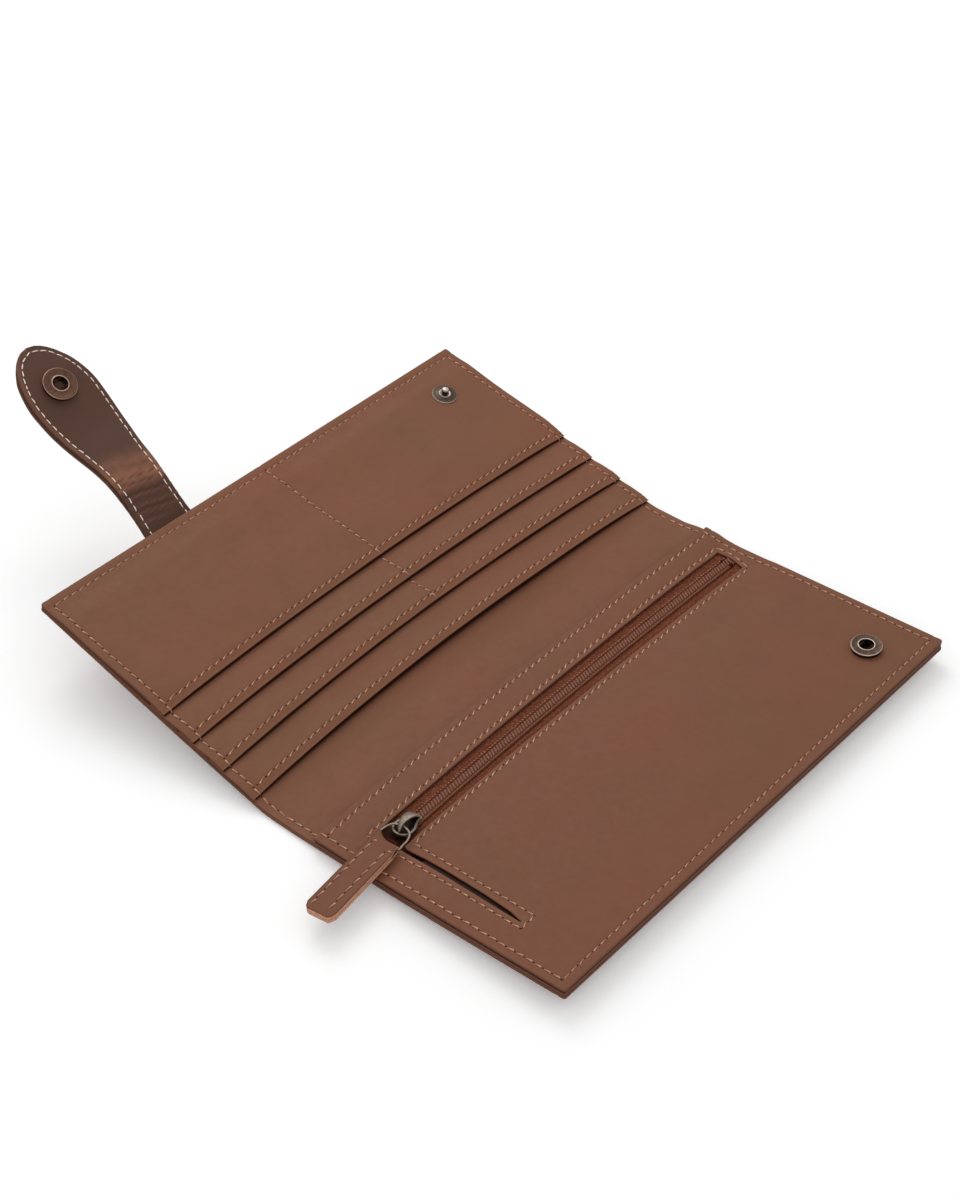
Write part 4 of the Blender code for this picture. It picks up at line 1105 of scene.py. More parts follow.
def make_chain():
    """The closed coil: slanted ribs that meet in the middle, a corded edge on the right and the
    loops of thread that hold the coil on the left."""
    rib = drawn_out(0.45, 0.4, 8, {
        -1: ((0.22, -0.03, 1.0), (0.16, -0.16, 0.92), (0.05, -0.34, 0.8)),
        1: ((0.30, 0.0, 0.95), (0.20, -0.04, 0.9), (0.06, -0.12, 0.6)),
    })
    mirrored = rib[0] * (-1, 1, 1), rib[1]
    bead = drawn_out(0.24, 0.33, 6, {-1: ((0.12, -0.05, 0.7),), 1: ((0.12, -0.05, 0.7),)})
    left, right = ("zip_chain_left",), ("zip_chain_right",)
    for name, pattern, across, ahead, height, finish, lean, jitter, replaced in (
        ("zip_chain_left_coil", rib, -0.52, 0.33, CHAIN_TOP - 0.33, TEETH, -0.52, 0.04, left),
        ("zip_chain_right_coil", mirrored, 0.66, -0.33, CHAIN_TOP - 0.35, TEETH, -0.46, 0.04, right),
        ("zip_coil_loops", bead, -2.05, 0, TAPE_TOP + 0.82, LOOPS, 0.5, 0.12, ()),
    ):
        spots = [(across, y + ahead, height) for y in np.arange(CHAIN_NEAR, CHAIN_FAR, RIB_PITCH)]
        repeated(name, pattern, spots, finish, lean, jitter, replaced)

    def core(a, b):
        return CHAIN_TOP - 0.34 - 0.2 * ramp(np.abs(a), 0.8, 1.3)

    def cord(a, b):
        return 2.42 + 0.10 * np.sin(b / RIB_PITCH * 6.283) - rounding(0.33 - np.abs(a - 1.62), 0.33)

    # The core that the two coils close round, painted wholly as dark shade in the gaps between the
    # ribs, and the cord beside them with painted shade along its outer side
    for name, columns, step, top, shade in (
        ("zip_coil_core", np.linspace(-1.3, 1.35, 9), 1.2, core, lambda a: 1.0),
        ("zip_coil_cord", np.linspace(1.29, 1.95, 8), 0.31, cord, lambda a: 0.35 * ramp(a, 1.6, 1.9)),
    ):
        rows = lines(CHAIN_NEAR, CHAIN_FAR, step)
        piece, a, b, _ = layer(columns, rows, top, lambda a, b: 1.5 + 0 * a, zip_frame_place)
        settle(piece, name, TEETH, "zip_teeth", "zip_half", 60, shade=shade(a))


# Metal


def framed(piece):
    """Moves a piece whose X, Y and Z are across, along and over the zip into its place."""
    at = zip_frame_place(0.0, 0.0, 0.0, 0.0)
    corner = [zip_frame_place(*way, 0.0) - at for way in ((1.0, 0, 0), (0, 1.0, 0), (0, 0, 1.0))]
    turn = Matrix([[float(corner[c][r]) for c in range(3)] for r in range(3)]).to_4x4()
    piece.data.transform(Matrix.Translation(Vector(tuple(at))) @ turn)


def bevelled(piece, width, angle=40):
    step = piece.modifiers.new("soft", "BEVEL")
    step.width = width
    step.segments = 2
    step.limit_method = "ANGLE"
    step.angle_limit = math.radians(angle)
    only(piece)
    bpy.ops.object.modifier_apply(modifier=step.name)


# Half the outline of the slider's top plate, from its narrow tail to its round nose
SLIDER_Y = -76.6
SLIDER_SIDE = [(1.6, 4.9), (1.75, 3.4), (2.05, 2.2), (2.75, 1), (3.25, 0.1), (3.45, -1),
               (3.45, -2.1), (3.1, -3.3), (2.4, -4.2), (1.4, -4.8), (0.5, -5)]
PLATE_BASE = 3.05
PLATE_THICK = 0.85
PLATE_HOLLOW = 0.55
# The bridge that the bail hangs on, with its long tongue towards the nose, as (along, height), and
# how wide and how far off the zip's middle it is there
BRIDGE = [(-72.1, 3.5), (-72.7, 4.5), (-73.6, 5.4), (-74.8, 5.9), (-76.2, 6.15), (-77.6, 6.2),
          (-78.8, 6.0), (-79.7, 5.5), (-80.4, 4.9), (-80.9, 4.4)]
BRIDGE_WIDE = np.array([2.9, 3.1, 3.0, 2.8, 2.5, 2.2, 1.8, 1.4, 0.9, 0.45])
BRIDGE_OFF = np.array([-0.25, -0.3, -0.4, -0.45, -0.45, -0.4, -0.25, 0.0, 0.35, 0.65])


def make_slider():
    outline = SLIDER_SIDE + [(-x, y) for x, y in SLIDER_SIDE[::-1]]
    bpy.ops.object.select_all(action="DESELECT")
    bpy.ops.mesh.primitive_circle_add(vertices=len(outline), radius=1, fill_type="NGON")
    plate = bpy.context.active_object
    for vertex, (x, y) in zip(plate.data.vertices, outline):
        vertex.co = (x, SLIDER_Y + y, PLATE_BASE)
    bpy.ops.object.mode_set(mode="EDIT")
    bpy.ops.mesh.select_all(action="SELECT")
    bpy.ops.mesh.extrude_region_move(TRANSFORM_OT_translate={"value": (0, 0, PLATE_THICK)})
    bpy.ops.mesh.inset(thickness=0.7, depth=0.0)
    bpy.ops.mesh.extrude_region_move(TRANSFORM_OT_translate={"value": (0, 0, -PLATE_HOLLOW)})
    bpy.ops.object.mode_set(mode="OBJECT")
    faces_out(plate)
    bevelled(plate, 0.10)

    parts = [plate]
    for side in (-1, 1):
        bpy.ops.object.select_all(action="DESELECT")
        bpy.ops.mesh.primitive_cube_add(size=1, location=(0, 0, 0))
        flange = bpy.context.active_object
        size = Matrix.Diagonal((0.5, 5.2, 0.93, 1))
        flange.data.transform(Matrix.Translation((side * 2.75, SLIDER_Y - 1.2, 2.68)) @ size)
        bevelled(flange, 0.12)
        parts.append(flange)
    bridge = bent_bar(BRIDGE, BRIDGE_WIDE, BRIDGE_OFF, 0.55)
    bevelled(bridge, 0.09, 50)

    bpy.ops.object.select_all(action="DESELECT")
    for part in (*parts, bridge):
        part.select_set(True)
    bpy.context.view_layer.objects.active = plate
    bpy.ops.object.join()
    x, y, z = np.array([v.co for v in plate.data.vertices]).T
    # The plate's rim and the bridge's right edge get painted highlights; the hollow in the plate and
    # the parts below it get painted shade
    rim = (z > 3.6) & (z < 4.0)
    inner = (z > 3.2) & (z <= 3.6)
    right_edge = np.interp(-y, [-along for along, _ in BRIDGE], BRIDGE_OFF + BRIDGE_WIDE / 2) - 0.12
    worn = 0.3 * rim + 0.6 * ((z > 4.0) & (x > right_edge))
    framed(plate)
    settle(plate, "slider_body_cast", SLIDER_METAL, "slider_metal", "slider", replaced=("slider_body",),
           worn=worn, shade=0.9 * inner + 0.35 * (z < 3.0))


def bent_bar(path, widths, drift, thick):
    """A flat bar that follows (along, height) points, drawn out of a plane end by end."""
    bpy.ops.object.select_all(action="DESELECT")
    bpy.ops.mesh.primitive_plane_add(size=1, location=(0, 0, 0))
    bar = bpy.context.active_object
    path = np.asarray(path, float)
    ways = np.gradient(path, axis=0)
    ways /= np.hypot(*ways.T)[:, None]

    def section(n):
        (y, h), (wy, wh) = path[n], ways[n]
        half, rise = widths[n] / 2, thick / 2
        return [
            Vector((drift[n] + sx * half, y - sh * rise * wh, h + sh * rise * wy))
            for sx, sh in ((-1, -1), (1, -1), (-1, 1), (1, 1))
        ]

    for vertex, co in zip(bar.data.vertices, section(0)):
        vertex.co = co
    bpy.ops.object.mode_set(mode="EDIT")
    for n in range(1, len(path)):
        last = Vector((drift[n - 1], *path[n - 1]))
        draw_end(bar, lambda middle: -(middle - last).length, (0, 0, 0))
        before, after = section(n - 1), section(n)
        for vertex in bmesh.from_edit_mesh(bar.data).verts:
            if vertex.select:
                vertex.co = after[min(range(4), key=lambda k: (before[k] - vertex.co).length)]
        bmesh.update_edit_mesh(bar.data)
    bpy.ops.object.mode_set(mode="OBJECT")
    faces_out(bar)
    return bar


WELD = 0.001  # points nearer than this are one

# The bail's wire, across and along the zip, from its left leg round its foot to its right leg
BAIL_H = 4.6
BAIL_WIRE = [(-0.2, -78.85), (-2.3, -79.4), (-3.4, -80.9), (-3.75, -82.9), (-3.75, -85.5),
             (-3.5, -87.6), (-2.9, -88.0), (1.3, -87.4), (4.9, -86.9), (5.75, -86.75),
             (5.75, -86.0), (5.45, -84.6), (5.35, -82.6), (4.5, -80.5), (3.0, -79.1),
             (0.3, -78.75)]


def make_bail():
    bpy.ops.object.select_all(action="DESELECT")
    bpy.ops.curve.primitive_nurbs_path_add(radius=1, location=(0, 0, 0))
    wire = bpy.context.active_object
    spline = wire.data.splines[0]
    spline.points.add(len(BAIL_WIRE) - len(spline.points))
    for point, (x, y) in zip(spline.points, BAIL_WIRE):
        point.co = (x, y, BAIL_H + 0.25 * math.exp(-((y + 79) / 1.2) ** 2), 1)
    spline.use_endpoint_u = True
    spline.use_cyclic_u = False
    spline.order_u = 3
    spline.resolution_u = 6
    wire.data.bevel_depth = 0.37
    wire.data.bevel_resolution = 3
    wire.data.use_fill_caps = True
    only(wire)
    bpy.ops.object.convert(target="MESH")
    wire = bpy.context.active_object
    faces_out(wire, WELD)
    z = np.array([v.co.z for v in wire.data.vertices])
    framed(wire)
    # The wire's top gets a painted highlight and its underside painted shade
    settle(wire, "bail_wire", SLIDER_METAL, "slider_metal", "bail", 60, ("bail",),
           worn=0.5 * ramp(z, BAIL_H + 0.1, BAIL_H + 0.32),
           shade=0.5 * ramp(-z, -BAIL_H, -BAIL_H + 0.3))


def spun(profile, place, axis, name, finish, body, replaced, highlights, dark):
    """A profile of (radius, height) in millimetres, spun round an axis through a place. Its places of
    painted highlight and of painted shade are given as (radius, height, spread)."""
    bpy.ops.object.select_all(action="DESELECT")
    bpy.ops.mesh.primitive_circle_add(vertices=len(profile), radius=1, fill_type="NOTHING")
    piece = bpy.context.active_object
    for vertex, (r, h) in zip(piece.data.vertices, profile):
        vertex.co = (r * MM, 0, h * MM)
    spin = piece.modifiers.new("spin", "SCREW")
    spin.steps = spin.render_steps = 64
    spin.use_merge_vertices = True
    spin.merge_threshold = WELD * MM
    bpy.ops.object.modifier_apply(modifier=spin.name)
    faces_out(piece, WELD * MM)
    x, y, heights = np.array([v.co for v in piece.data.vertices]).T / MM
    radii = np.hypot(x, y)

    def near(spots):
        return np.maximum.reduce([ridge(np.hypot(radii - r, heights - h), 0, w) for r, h, w in spots])

    worn, shade = near(highlights), near(dark)
    turn = Vector(axis).to_track_quat("Z", "Y").to_matrix().to_4x4()
    piece.data.transform(Matrix.Translation(Vector(place)) @ turn)
    settle(piece, name, finish, "snap_metal", body, 38, (replaced,), worn=worn, shade=shade)


def socket_profile(radius, hole, top):
    """A snap ring as it shows: a bead round the hole, a wide flat rim, a thin rounded edge that
    stands clear of the leather, and a barrel under it."""
    from_hole = ((0, 0.62), (0, 0.22), (0.10, 0.05), (0.26, 0), (0.44, 0.06), (0.56, 0.18))
    from_edge = ((0.72, 0.22), (0.50, 0.14), (0.30, 0.15), (0.10, 0.24), (0, 0.40), (0.04, 0.56),
                 (0.20, 0.66), (0.26, 0.85), (0.28, 1.98), (0.90, 2.04))
    barrel = ((BARREL, 2.06), (BARREL, 2.6), (0, 2.6), (0, 2.1), (BARREL - 0.4, 2.05),
              (BARREL - 0.4, 1.30), (radius - 1.9, 1.10), (radius - 1.5, 0.90), (hole + 0.5, 0.62))
    profile = [(hole + r, h) for r, h in from_hole] + [(radius - r, h) for r, h in from_edge]
    return [(r, top - h) for r, h in (*profile, *barrel)]


BARREL = 2.3
NECK = 1.08
# Painted shade inside a ring, as (radius, height, spread)
SOCKET_SHADE = ((0, 0, 2.6), (1.9, 0.4, 1.2), (2.5, 1.3, 0.5), (3.6, 1.1, 0.7))
# Painted highlights on a stud besides its head: the bead round its post and the flange's rim
STUD_HIGHLIGHTS = ((1.9, 1.0, 0.22), (4.5, 0.3, 0.2))
# The cap on the strap's outside
CAP = ((0, -4.05), (2.2, -4.02), (4.4, -3.82), (5.7, -3.42), (6.25, -3.0), (6.4, -2.62),
       (6.2, -2.5), (0, -2.5))


def stud_profile(base, tip):
    """A snap stud: a flat flange, a bead round a post, and the post's rounded head."""
    head = ((0, 0), (0.55, 0.03), (1.00, 0.16), (1.28, 0.42), (1.36, 0.70), (1.26, 0.90), (NECK, 1.06))
    flange = ((NECK, 0.95), (1.62, 0.80), (1.80, 0.86), (2.05, 0.84), (2.25, 0.62), (2.45, 0.48),
              (3.90, 0.42), (4.20, 0.44), (4.42, 0.32), (4.50, 0.14), (4.42, 0.0), (4.20, -0.04),
              (0, -0.04))
    return [(r, tip - h) for r, h in head] + [(r, base + h) for r, h in flange]


def direction(place, s, y, side=1):
    """The way out of a half's surface, or of the strap's."""
    return Vector(tuple(place(s, y, 1.0) - place(s, y, 0.0))) * side


def make_snaps():
    """Both pairs of snaps, whose places of painted highlight and painted shade are (radius, height,
    spread).
    """
    at = SNAP_S, SNAP_Y
    spun(socket_profile(5.1, 2.4, 2.05), zip_place(*at, PANEL_TOP), direction(zip_place, *at),
         "closure_socket_ring", SNAP_METAL, "zip_half", "closure_socket",
         [(2.62, 2.05, 0.16), (5.1, 1.66, 0.25)], SOCKET_SHADE + ((4.83, 0.6, 0.62),))
    spun(stud_profile(0.15, 3.05), card_place(*at, 2.65), direction(card_place, *at),
         "closure_stud_post", STUD_METAL, "card_half", "closure_stud",
         [(0.6, 2.95, 0.55), *STUD_HIGHLIGHTS], [(1.3, 1.7, 0.5)])
    at = STRAP_STUD_S, STRAP_Y
    spun(stud_profile(0.15, 2.65), zip_place(*at, -COVER), direction(zip_place, *at, -1),
         "strap_stud_post", STUD_METAL, "zip_half", "strap_stud",
         [(0.6, 2.55, 0.55), *STUD_HIGHLIGHTS], [(1.3, 1.5, 0.5)])
    at = STRAP_SNAP_T, 0.0
    place, axis = strap_place(*at, 0.0), direction(strap_place, *at)
    spun(socket_profile(5.95, 2.6, 2.05), place, axis,
         "strap_socket_ring", COPPER, "strap_tab", "strap_socket",
         [(2.82, 2.05, 0.18), (5.95, 1.66, 0.2)], SOCKET_SHADE + ((5.68, 0.6, 0.62),))
    spun(CAP, place, axis, "strap_cap_dome", COPPER, "strap_tab", "strap_cap",
         [(5.7, -3.4, 0.6)], [(0, -2.5, 2.8)])


# The CAD nodes that stay as they are, with a better finish
CARRIED = (
    (SHADED_SPRING_METAL, ("closure_spring", "strap_spring")),
    (STUD_METAL, ("closure_stud_back", "closure_socket_back", "strap_stud_back")),
    # The zip stops take the dark needle-hole finish as painted shade
    (NEEDLE_HOLE, ("zip_stop_closed", "zip_stop_open")),
    (CLOTH, ("note_pocket_leaf", "lower_card_leaf", "upper_card_leaf", "slit_pocket_leaf")),
)


def finish_carried():
    for finish, names in CARRIED:
        for name in names:
            nodes[name].data.materials.clear()
            nodes[name].data.materials.append(finish)


# Strap


STRAP_Y = -38.6
STRAP_SNAP_T = 60.0
RUN_FROM = (6.7, -111.4, 27.9)


def strap_table():
    """The strap's run in the XZ plane: flat under the cover, up steeply, then waving out to its tip."""
    t = np.linspace(-20.6, 78.0, 987)
    angle = 13.3 + 29.7 * ramp(t, -3, 3) - 19.0 * ramp(t, 14, 28)
    angle = np.radians(angle + 10.0 * ramp(t, 36, 52) - 5.5 * ramp(t, 58, 68))
    gap = t[1] - t[0]
    x = np.concatenate([[0], np.cumsum(np.cos((angle[1:] + angle[:-1]) / 2) * gap)])
    z = np.concatenate([[0], np.cumsum(np.sin((angle[1:] + angle[:-1]) / 2) * gap)])
    along, x_there, z_there = RUN_FROM
    return t, angle, x_there - (x - np.interp(along, t, x)), z_there + (z - np.interp(along, t, z))


STRAP_RUN = strap_table()
STRAP_END = 77.2
# Half the strap's width at places along it
STRAP_T = [-20, 0, 5, 17, 24, 30, 36, 41, 46.5, 51.5, 57, 62, 67.5, 72, 74.2, 75.6, 76.6, 77.2]
STRAP_W = [9.6, 9.6, 9.3, 9.3, 9.6, 10.1, 11.2, 11.95, 12.75, 13.15, 13.35, 12.55, 10.9, 8.2, 6.4,
           4.8, 3, 0.1]


def strap_half_width(t):
    """Half the strap's width: a waist at the wallet's edge, widest past the snap, then an arch."""
    t = np.asarray(t, float)
    fine = np.linspace(-20, 74, 471)
    body = np.interp(fine, STRAP_T, STRAP_W)
    body = np.convolve(np.pad(body, 12, mode="edge"), np.ones(25) / 25, mode="valid")
    wide = np.interp(t, fine, body)
    end = np.interp(t, STRAP_T, STRAP_W)
    share = ramp(t, 66, 71)
    return wide * (1 - share) + end * share


def strap_place(t, v, h):
    """Points on the strap, from their way along it, across it and over its inner face."""
    t, v, h = (np.asarray(a, float) for a in np.broadcast_arrays(t, v, h))
    ts, angles, xs, zs = STRAP_RUN
    angle = np.interp(t, ts, angles)
    x = np.interp(t, ts, xs) + h * np.sin(angle)
    z = np.interp(t, ts, zs) + h * np.cos(angle)
    return np.stack([x, STRAP_Y + v, z], -1) * MM


def strap_wrinkle(t, v):
    """Fine creases across the strap where it bends over the wallet's edge."""
    t, v = np.asarray(t, float), np.asarray(v, float)
    zone = ramp(t, 2, 6) * (1 - ramp(t, 20, 25))
    lean = t + 0.10 * v + 0.5 * np.sin(v / 4.0)
    creases = np.sin(lean * 2.1) * 0.5 + np.sin(lean * 3.4 + 1.0) * 0.3 + np.sin(lean * 5.3 + 0.4) * 0.2
    return 0.22 * zone * creases * (0.7 + 0.3 * np.cos(v / 5.0))


STRAP_INSET = 1.75


def strap_face_top(t, v):
    wide = strap_half_width(t)
    gap = np.minimum(wide - np.abs(v), STRAP_END - t)
    dent = 0.16 * ridge(gap, STRAP_INSET, 0.5)
    crown = 0.12 * np.cos(np.clip(v / np.maximum(wide, 1), -1, 1) * 1.5)
    return strap_wrinkle(t, v) + crown - dent - rounding(gap, 0.3)


# The two places where the strap bends, as its two bodies and the stretch between them
ROOT_BEND = ("card_half", "strap_riser", -3.5, 3.5)
EDGE_BEND = ("strap_riser", "strap_tab", 14.0, 22.0)
STRAP_SPLIT = 9.0  # where the low and the high pieces meet


def strap_blend(first, second, start, end):
    return first, second, *(tuple(at) for at in strap_place(np.array([start, end]), 0, 0))


def make_strap():
    low = lines(-20.0, STRAP_SPLIT, 0.7)
    tip = 70.0 + (STRAP_END - 0.02 - 70.0) * np.sin(np.linspace(0, 1, 26) * math.pi / 2)
    high = np.concatenate([lines(STRAP_SPLIT, 70.0, 0.7)[:-1], tip])
    half = [0.15, 0.3, 0.45, 0.6, 0.72, 0.76, 0.80, 0.84, 0.88, 0.93, 0.965, 0.984, 0.994, 1.0]
    shares = np.array([-v for v in half[::-1]] + [0.0] + half)

    def gap_at(t, u):
        return strap_half_width(t) * (1 - np.abs(u))

    def wrinkle(t, u):
        return strap_wrinkle(t, u * strap_half_width(t))

    def face_top(t, u):
        return strap_face_top(t, u * strap_half_width(t))

    def face_bottom(t, u):
        return -1.1 + 0.8 * wrinkle(t, u) + rounding(gap_at(t, u), 0.15)

    def face_warp(t, u):
        return t, u * strap_half_width(t)

    def back_top(t, u):
        return -1.2 + 0.8 * wrinkle(t, u) - rounding(gap_at(t, u), 0.15)

    def back_bottom(t, u):
        gap = gap_at(t, u)
        return -2.32 + 0.5 * wrinkle(t, u) + rounding(gap, 0.35) + 0.12 * ridge(gap, STRAP_INSET, 0.5)

    def back_warp(t, u):
        wide = strap_half_width(t) + 0.12 * (1 - ramp(t, 70, 74.3))
        return t, u * wide - 0.45 * ramp(t, 8, 20) * (1 - ramp(t, 66, 74))

    face, back = (face_top, face_bottom, face_warp, 1.0), (back_top, back_bottom, back_warp, 0.4)
    for name, columns, (top, bottom, warp, wear_and_highlight_share), bend, replaced in (
        ("strap_inner_low", low, face, ROOT_BEND, ("strap_root", "strap_riser_face")),
        ("strap_inner_high", high, face, EDGE_BEND, ("strap_tab_face",)),
        ("strap_outer_low", low, back, ROOT_BEND, ("strap_riser_back",)),
        ("strap_outer_high", high, back, EDGE_BEND, ("strap_tab_back",)),
    ):
        piece, t, u, _ = layer(columns, shares, top, bottom, strap_place, None, warp)
        gap = np.minimum(gap_at(t, u), STRAP_END - t)
        # A painted highlight where the strap bends over the wallet's edge and on the tops of its
        # creases, painted shade in the creases' hollows, and a paler strip along one edge outside the
        # stitches
        way = t + 1.1 * u + 0.4 * np.sin(u * 4)
        highlight_band = ramp(way, 15.2, 17.6) * (1 - ramp(way, 20.4, 33.0)) * (0.85 + 0.15 * np.sin(u * 3 + t))
        crease = strap_wrinkle(t, u * 9)
        margin = 0.42 * (1 - ramp(gap, 1.0, 1.9)) * (u < 0) * (t > 22)
        worn = np.maximum(np.maximum(0.95 * highlight_band, 0.3 * ramp(crease, 0.02, 0.16)), 0.8 * margin)
        cut, shade = np.where(gap < 0.05, 1.0, 0.0), 0.55 * ramp(-crease, 0.03, 0.16)
        settle(piece, name, STRAP_LEATHER, "strap_leather", strap_blend(*bend), replaced=replaced,
               cut=cut, worn=worn * wear_and_highlight_share, shade=shade)

    def rim(side, start, end):
        marks = np.linspace(start, end, 160)
        return [(float(m), float(side * (strap_half_width(m) - STRAP_INSET))) for m in marks]

    # Past t = 66 the row keeps its distance from the pointed end
    marks = np.linspace(66.0, STRAP_END - 0.02, 160)
    edge = np.stack([marks, strap_half_width(marks)], -1)
    way = np.gradient(edge, axis=0)
    way /= np.hypot(*way.T)[:, None]
    turn = edge + STRAP_INSET * np.stack([way[:, 1], -way[:, 0]], -1)
    turn = [(float(a), float(b)) for a, b in turn if b > 4.6] + [(75.3, 0.0)]
    turn = turn + [(a, -b) for a, b in turn[-2::-1]]
    sides = [rim(side, STRAP_SPLIT, 65.9) for side in (1, -1)]
    for ending, bend, paths in (
        ("low", ROOT_BEND, [rim(side, -0.5, STRAP_SPLIT) for side in (-1, 1)]),
        ("high", EDGE_BEND, [sides[0] + turn + sides[1][::-1]]),
    ):
        for name, height, side in (
            ("strap_stitches_", strap_face_top, 1),
            ("strap_outer_stitches_", lambda a, b: -2.28 + 0 * a, -1),
        ):
            sew(name + ending, paths, height, strap_place, strap_blend(*bend), "strap_leather",
                CREAM_THREAD, STRAP_HOLE, 2.9, side, 1.0, 0.0)


# Pull


# The pull's own frame: where it turns on the bail, and its ways across, along and up
PULL_AT = np.array((33.767, -86.117, 6.947))
PULL_WAYS = np.array([(0.99112, 0.12533, 0.04435), (-0.12521, 0.99211, -0.0056), (-0.0447, 0.0, 0.999)])
PULL_LONG = 33.0
PULL_EYE = 1.1
PULL_TOTAL = 2 * PULL_LONG + math.pi * PULL_EYE


def pull_run(u):
    """The folded strip's run from its upper tip round the bail to its lower tip: the place along it,
    its middle's height and the way that its outer face looks."""
    u = np.asarray(u, float)
    upper = u <= PULL_TOTAL / 2
    v = np.minimum(u, PULL_TOTAL - u)
    around = math.pi / 2 - np.clip(v - PULL_LONG, 0, None) / PULL_EYE
    low = np.where(upper, 0.78, 0.45)
    flat = v < PULL_LONG
    y = np.where(flat, v - PULL_LONG, PULL_EYE * np.cos(around))
    z = np.where(flat, low + (PULL_EYE - low) * ramp(y, -5, 0.5), PULL_EYE * np.sin(around))
    angle = np.where(flat, math.pi / 2, around)
    return y, np.where(upper, z, -z), np.where(upper, angle, -angle)


def pull_half(y, w):
    """How far the strip's left or right edge is out. Its left edge covers a leg of the bail."""
    tip = [-PULL_LONG, -PULL_LONG + 0.8, -PULL_LONG + 2.4, -4]
    left = np.interp(y, tip + [2], [3.3, 4.3, 5.0, 4.9, 4.7])
    right = np.interp(y, tip + [0, 2], [3.7, 4.4, 5.0, 4.8, 4.1, 3.9])
    return np.where(np.asarray(w) < 0, left, right)


def half_thick(u):
    """Half the strip's thickness: the leather is pared where it turns round the bail."""
    y = pull_run(u)[0]
    return 0.6 - 0.14 * ramp(y, -5.5, -1.0)


def pull_place(u, v, h):
    u, v, h = (np.asarray(a, float) for a in np.broadcast_arrays(u, v, h))
    y, z, angle = pull_run(u)
    y = y + h * np.cos(angle)
    z = z + h * np.sin(angle)
    # The folded end is hollowed, and higher on the left
    ear = np.interp(v, [-4.9, -4.2, -3.2, -2.0, 0, 2.0, 4.1], [2.3, 2.1, 1.1, 0.2, -0.55, -0.7, -0.7])
    y = y + ear * ramp(y, -4.5, 1.2)
    ways = [part[..., None] * way for part, way in zip((v, y, z), PULL_WAYS)]
    return (PULL_AT + ways[0] + ways[1] + ways[2]) * MM


def make_pull():
    bend = (PULL_TOTAL / 2, np.linspace(-2.4, 2.4, 17))
    columns = lines(0, PULL_TOTAL, 0.8, (0.0, EDGE), inward(PULL_TOTAL), bend)
    half = [0.12, 0.26, 0.38, 0.44, 0.5, 0.58, 0.66, 0.72, 0.8, 0.88, 0.94, 0.975, 0.99, 1.0]
    shares = np.array([-v for v in half[::-1]] + [0.0] + half)

    def gap_at(u, w):
        y = pull_run(u)[0]
        return np.minimum(pull_half(y, w) * (1 - np.abs(w)), y + PULL_LONG)

    def top(u, w):
        y = pull_run(u)[0]
        across = w * pull_half(y, w)
        dent = 0.12 * (ridge(across, -3.45, 0.45) + ridge(across, 2.2, 0.45)) * (y < -2.5)
        return half_thick(u) - rounding(gap_at(u, w), 0.16) - dent

    def bottom(u, w):
        return -half_thick(u) + rounding(gap_at(u, w), 0.08)

    def warp(u, w):
        return u, w * pull_half(pull_run(u)[0], w)

    piece, u, w, _ = layer(columns, shares, top, bottom, pull_place, None, warp)
    # A dark line painted on the faces just inside their cut edges
    gap = gap_at(u, w)
    shade = 0.9 * ramp(gap, 0.04, 0.08) * (1 - ramp(gap, 0.12, 0.5))
    settle(piece, "pull_leather_strip", PULL_LEATHER, "leather", "pull", replaced=("pull",),
           cut=np.where(gap < CUT_FACE, 1.0, 0.0), worn=0, shade=shade, deep=0)

    rows = [
        [(1.4, -3.45), (PULL_LONG - 2.3, -3.4)],
        [(PULL_LONG - 2.2, -3.3), (PULL_LONG - 0.9, -2.0)],
        [(3.0, 2.1), (PULL_LONG - 3.4, 2.3)],
        [(PULL_LONG - 3.3, 2.5), (PULL_LONG - 2.3, 4.3)],
    ]
    under = [[(PULL_TOTAL - m, v) for m, v in row] for row in rows]
    for name, paths in (("pull_stitches", rows), ("pull_stitches_under", under)):
        sew(name, paths, lambda a, b: half_thick(a) - 0.11, pull_place, "pull", "leather",
            pitch=3.8, slant=0.3)


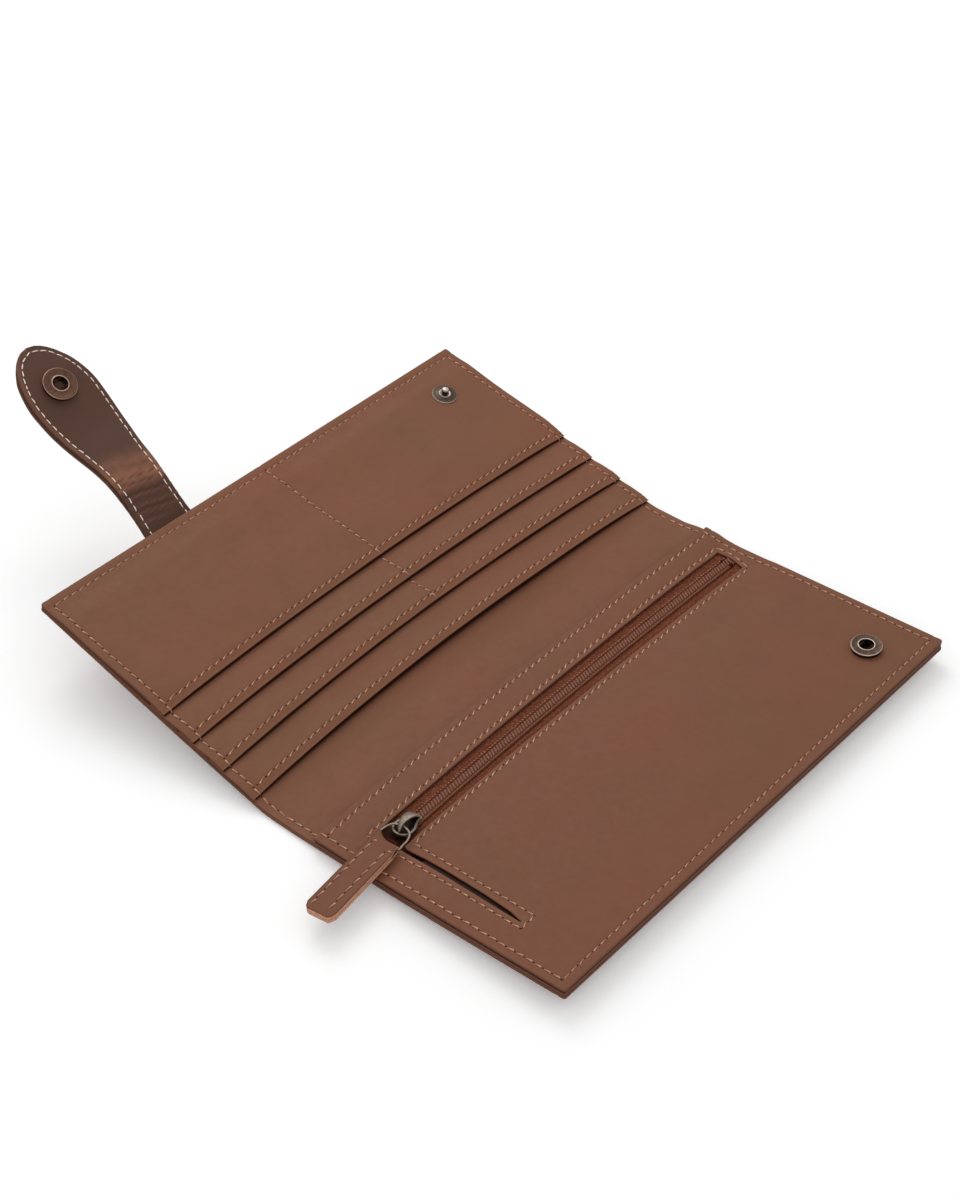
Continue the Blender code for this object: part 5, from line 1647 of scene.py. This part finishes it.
def make_stage():
    bpy.ops.object.select_all(action="DESELECT")
    bpy.ops.mesh.primitive_plane_add(size=6, location=(0, 0, -0.0002))
    floor = bpy.context.active_object
    floor.name = "floor"
    look = Finish("floor_white", 0.9, specular=0.0)
    white = (1, 1, 1, 1)
    look.colour((0.86, 0.86, 0.86, 1))
    matt = look.shader.outputs["BSDF"]
    glow = look.node("ShaderNodeEmission", {"Color": white, "Strength": 0.16}).outputs["Emission"]
    both = look.node("ShaderNodeAddShader", {0: matt, 1: glow}).outputs["Shader"]
    seen = look.node("ShaderNodeLightPath").outputs["Is Camera Ray"]
    pick = look.node("ShaderNodeMixShader", {0: seen, 1: matt, 2: both})
    look.feed(look.tree.nodes["Material Output"], {"Surface": pick.outputs["Shader"]})
    floor.data.materials.append(look.made)
    floor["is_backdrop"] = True

    scene = bpy.context.scene
    scene.world = bpy.data.worlds.new("studio")
    scene.world.use_nodes = True
    back = scene.world.node_tree.nodes["Background"]
    back.inputs["Color"].default_value = white
    back.inputs["Strength"].default_value = 0.78
    for name, at, size, power in (
        ("key_light", (-0.55, 0.35, 0.75), 0.6, 3.2),
        ("fill_light", (0.6, -0.7, 0.6), 0.9, 1.0),
    ):
        lamp = bpy.data.lights.new(name, "AREA")
        lamp.energy = power
        lamp.size = size
        made = bpy.data.objects.new(name, lamp)
        made.location = at
        made.rotation_euler = (-Vector(at)).to_track_quat("-Z", "Y").to_euler()
        scene.collection.objects.link(made)

    camera = bpy.data.cameras.new("camera")
    camera.lens = 65.883
    camera.sensor_width = 36
    camera.clip_start = 0.01
    scene.camera = bpy.data.objects.new("camera", camera)
    scene.camera.location = (0.342578, -0.398553, 0.470817)
    scene.camera.rotation_euler = (math.radians(49.742), 0, math.radians(41.1228))
    scene.collection.objects.link(scene.camera)
    scene.view_settings.view_transform = "Standard"


make_stage()
make_covers()
make_card_leather()
make_zip_leather()
make_stitches()
make_tapes()
make_chain()
make_snaps()
make_strap()
make_pull()
make_slider()
make_bail()
finish_carried()

boxes = {"cad": cad_box, "visual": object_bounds()}
{key: [list(corner) for corner in box] for key, box in boxes.items()}
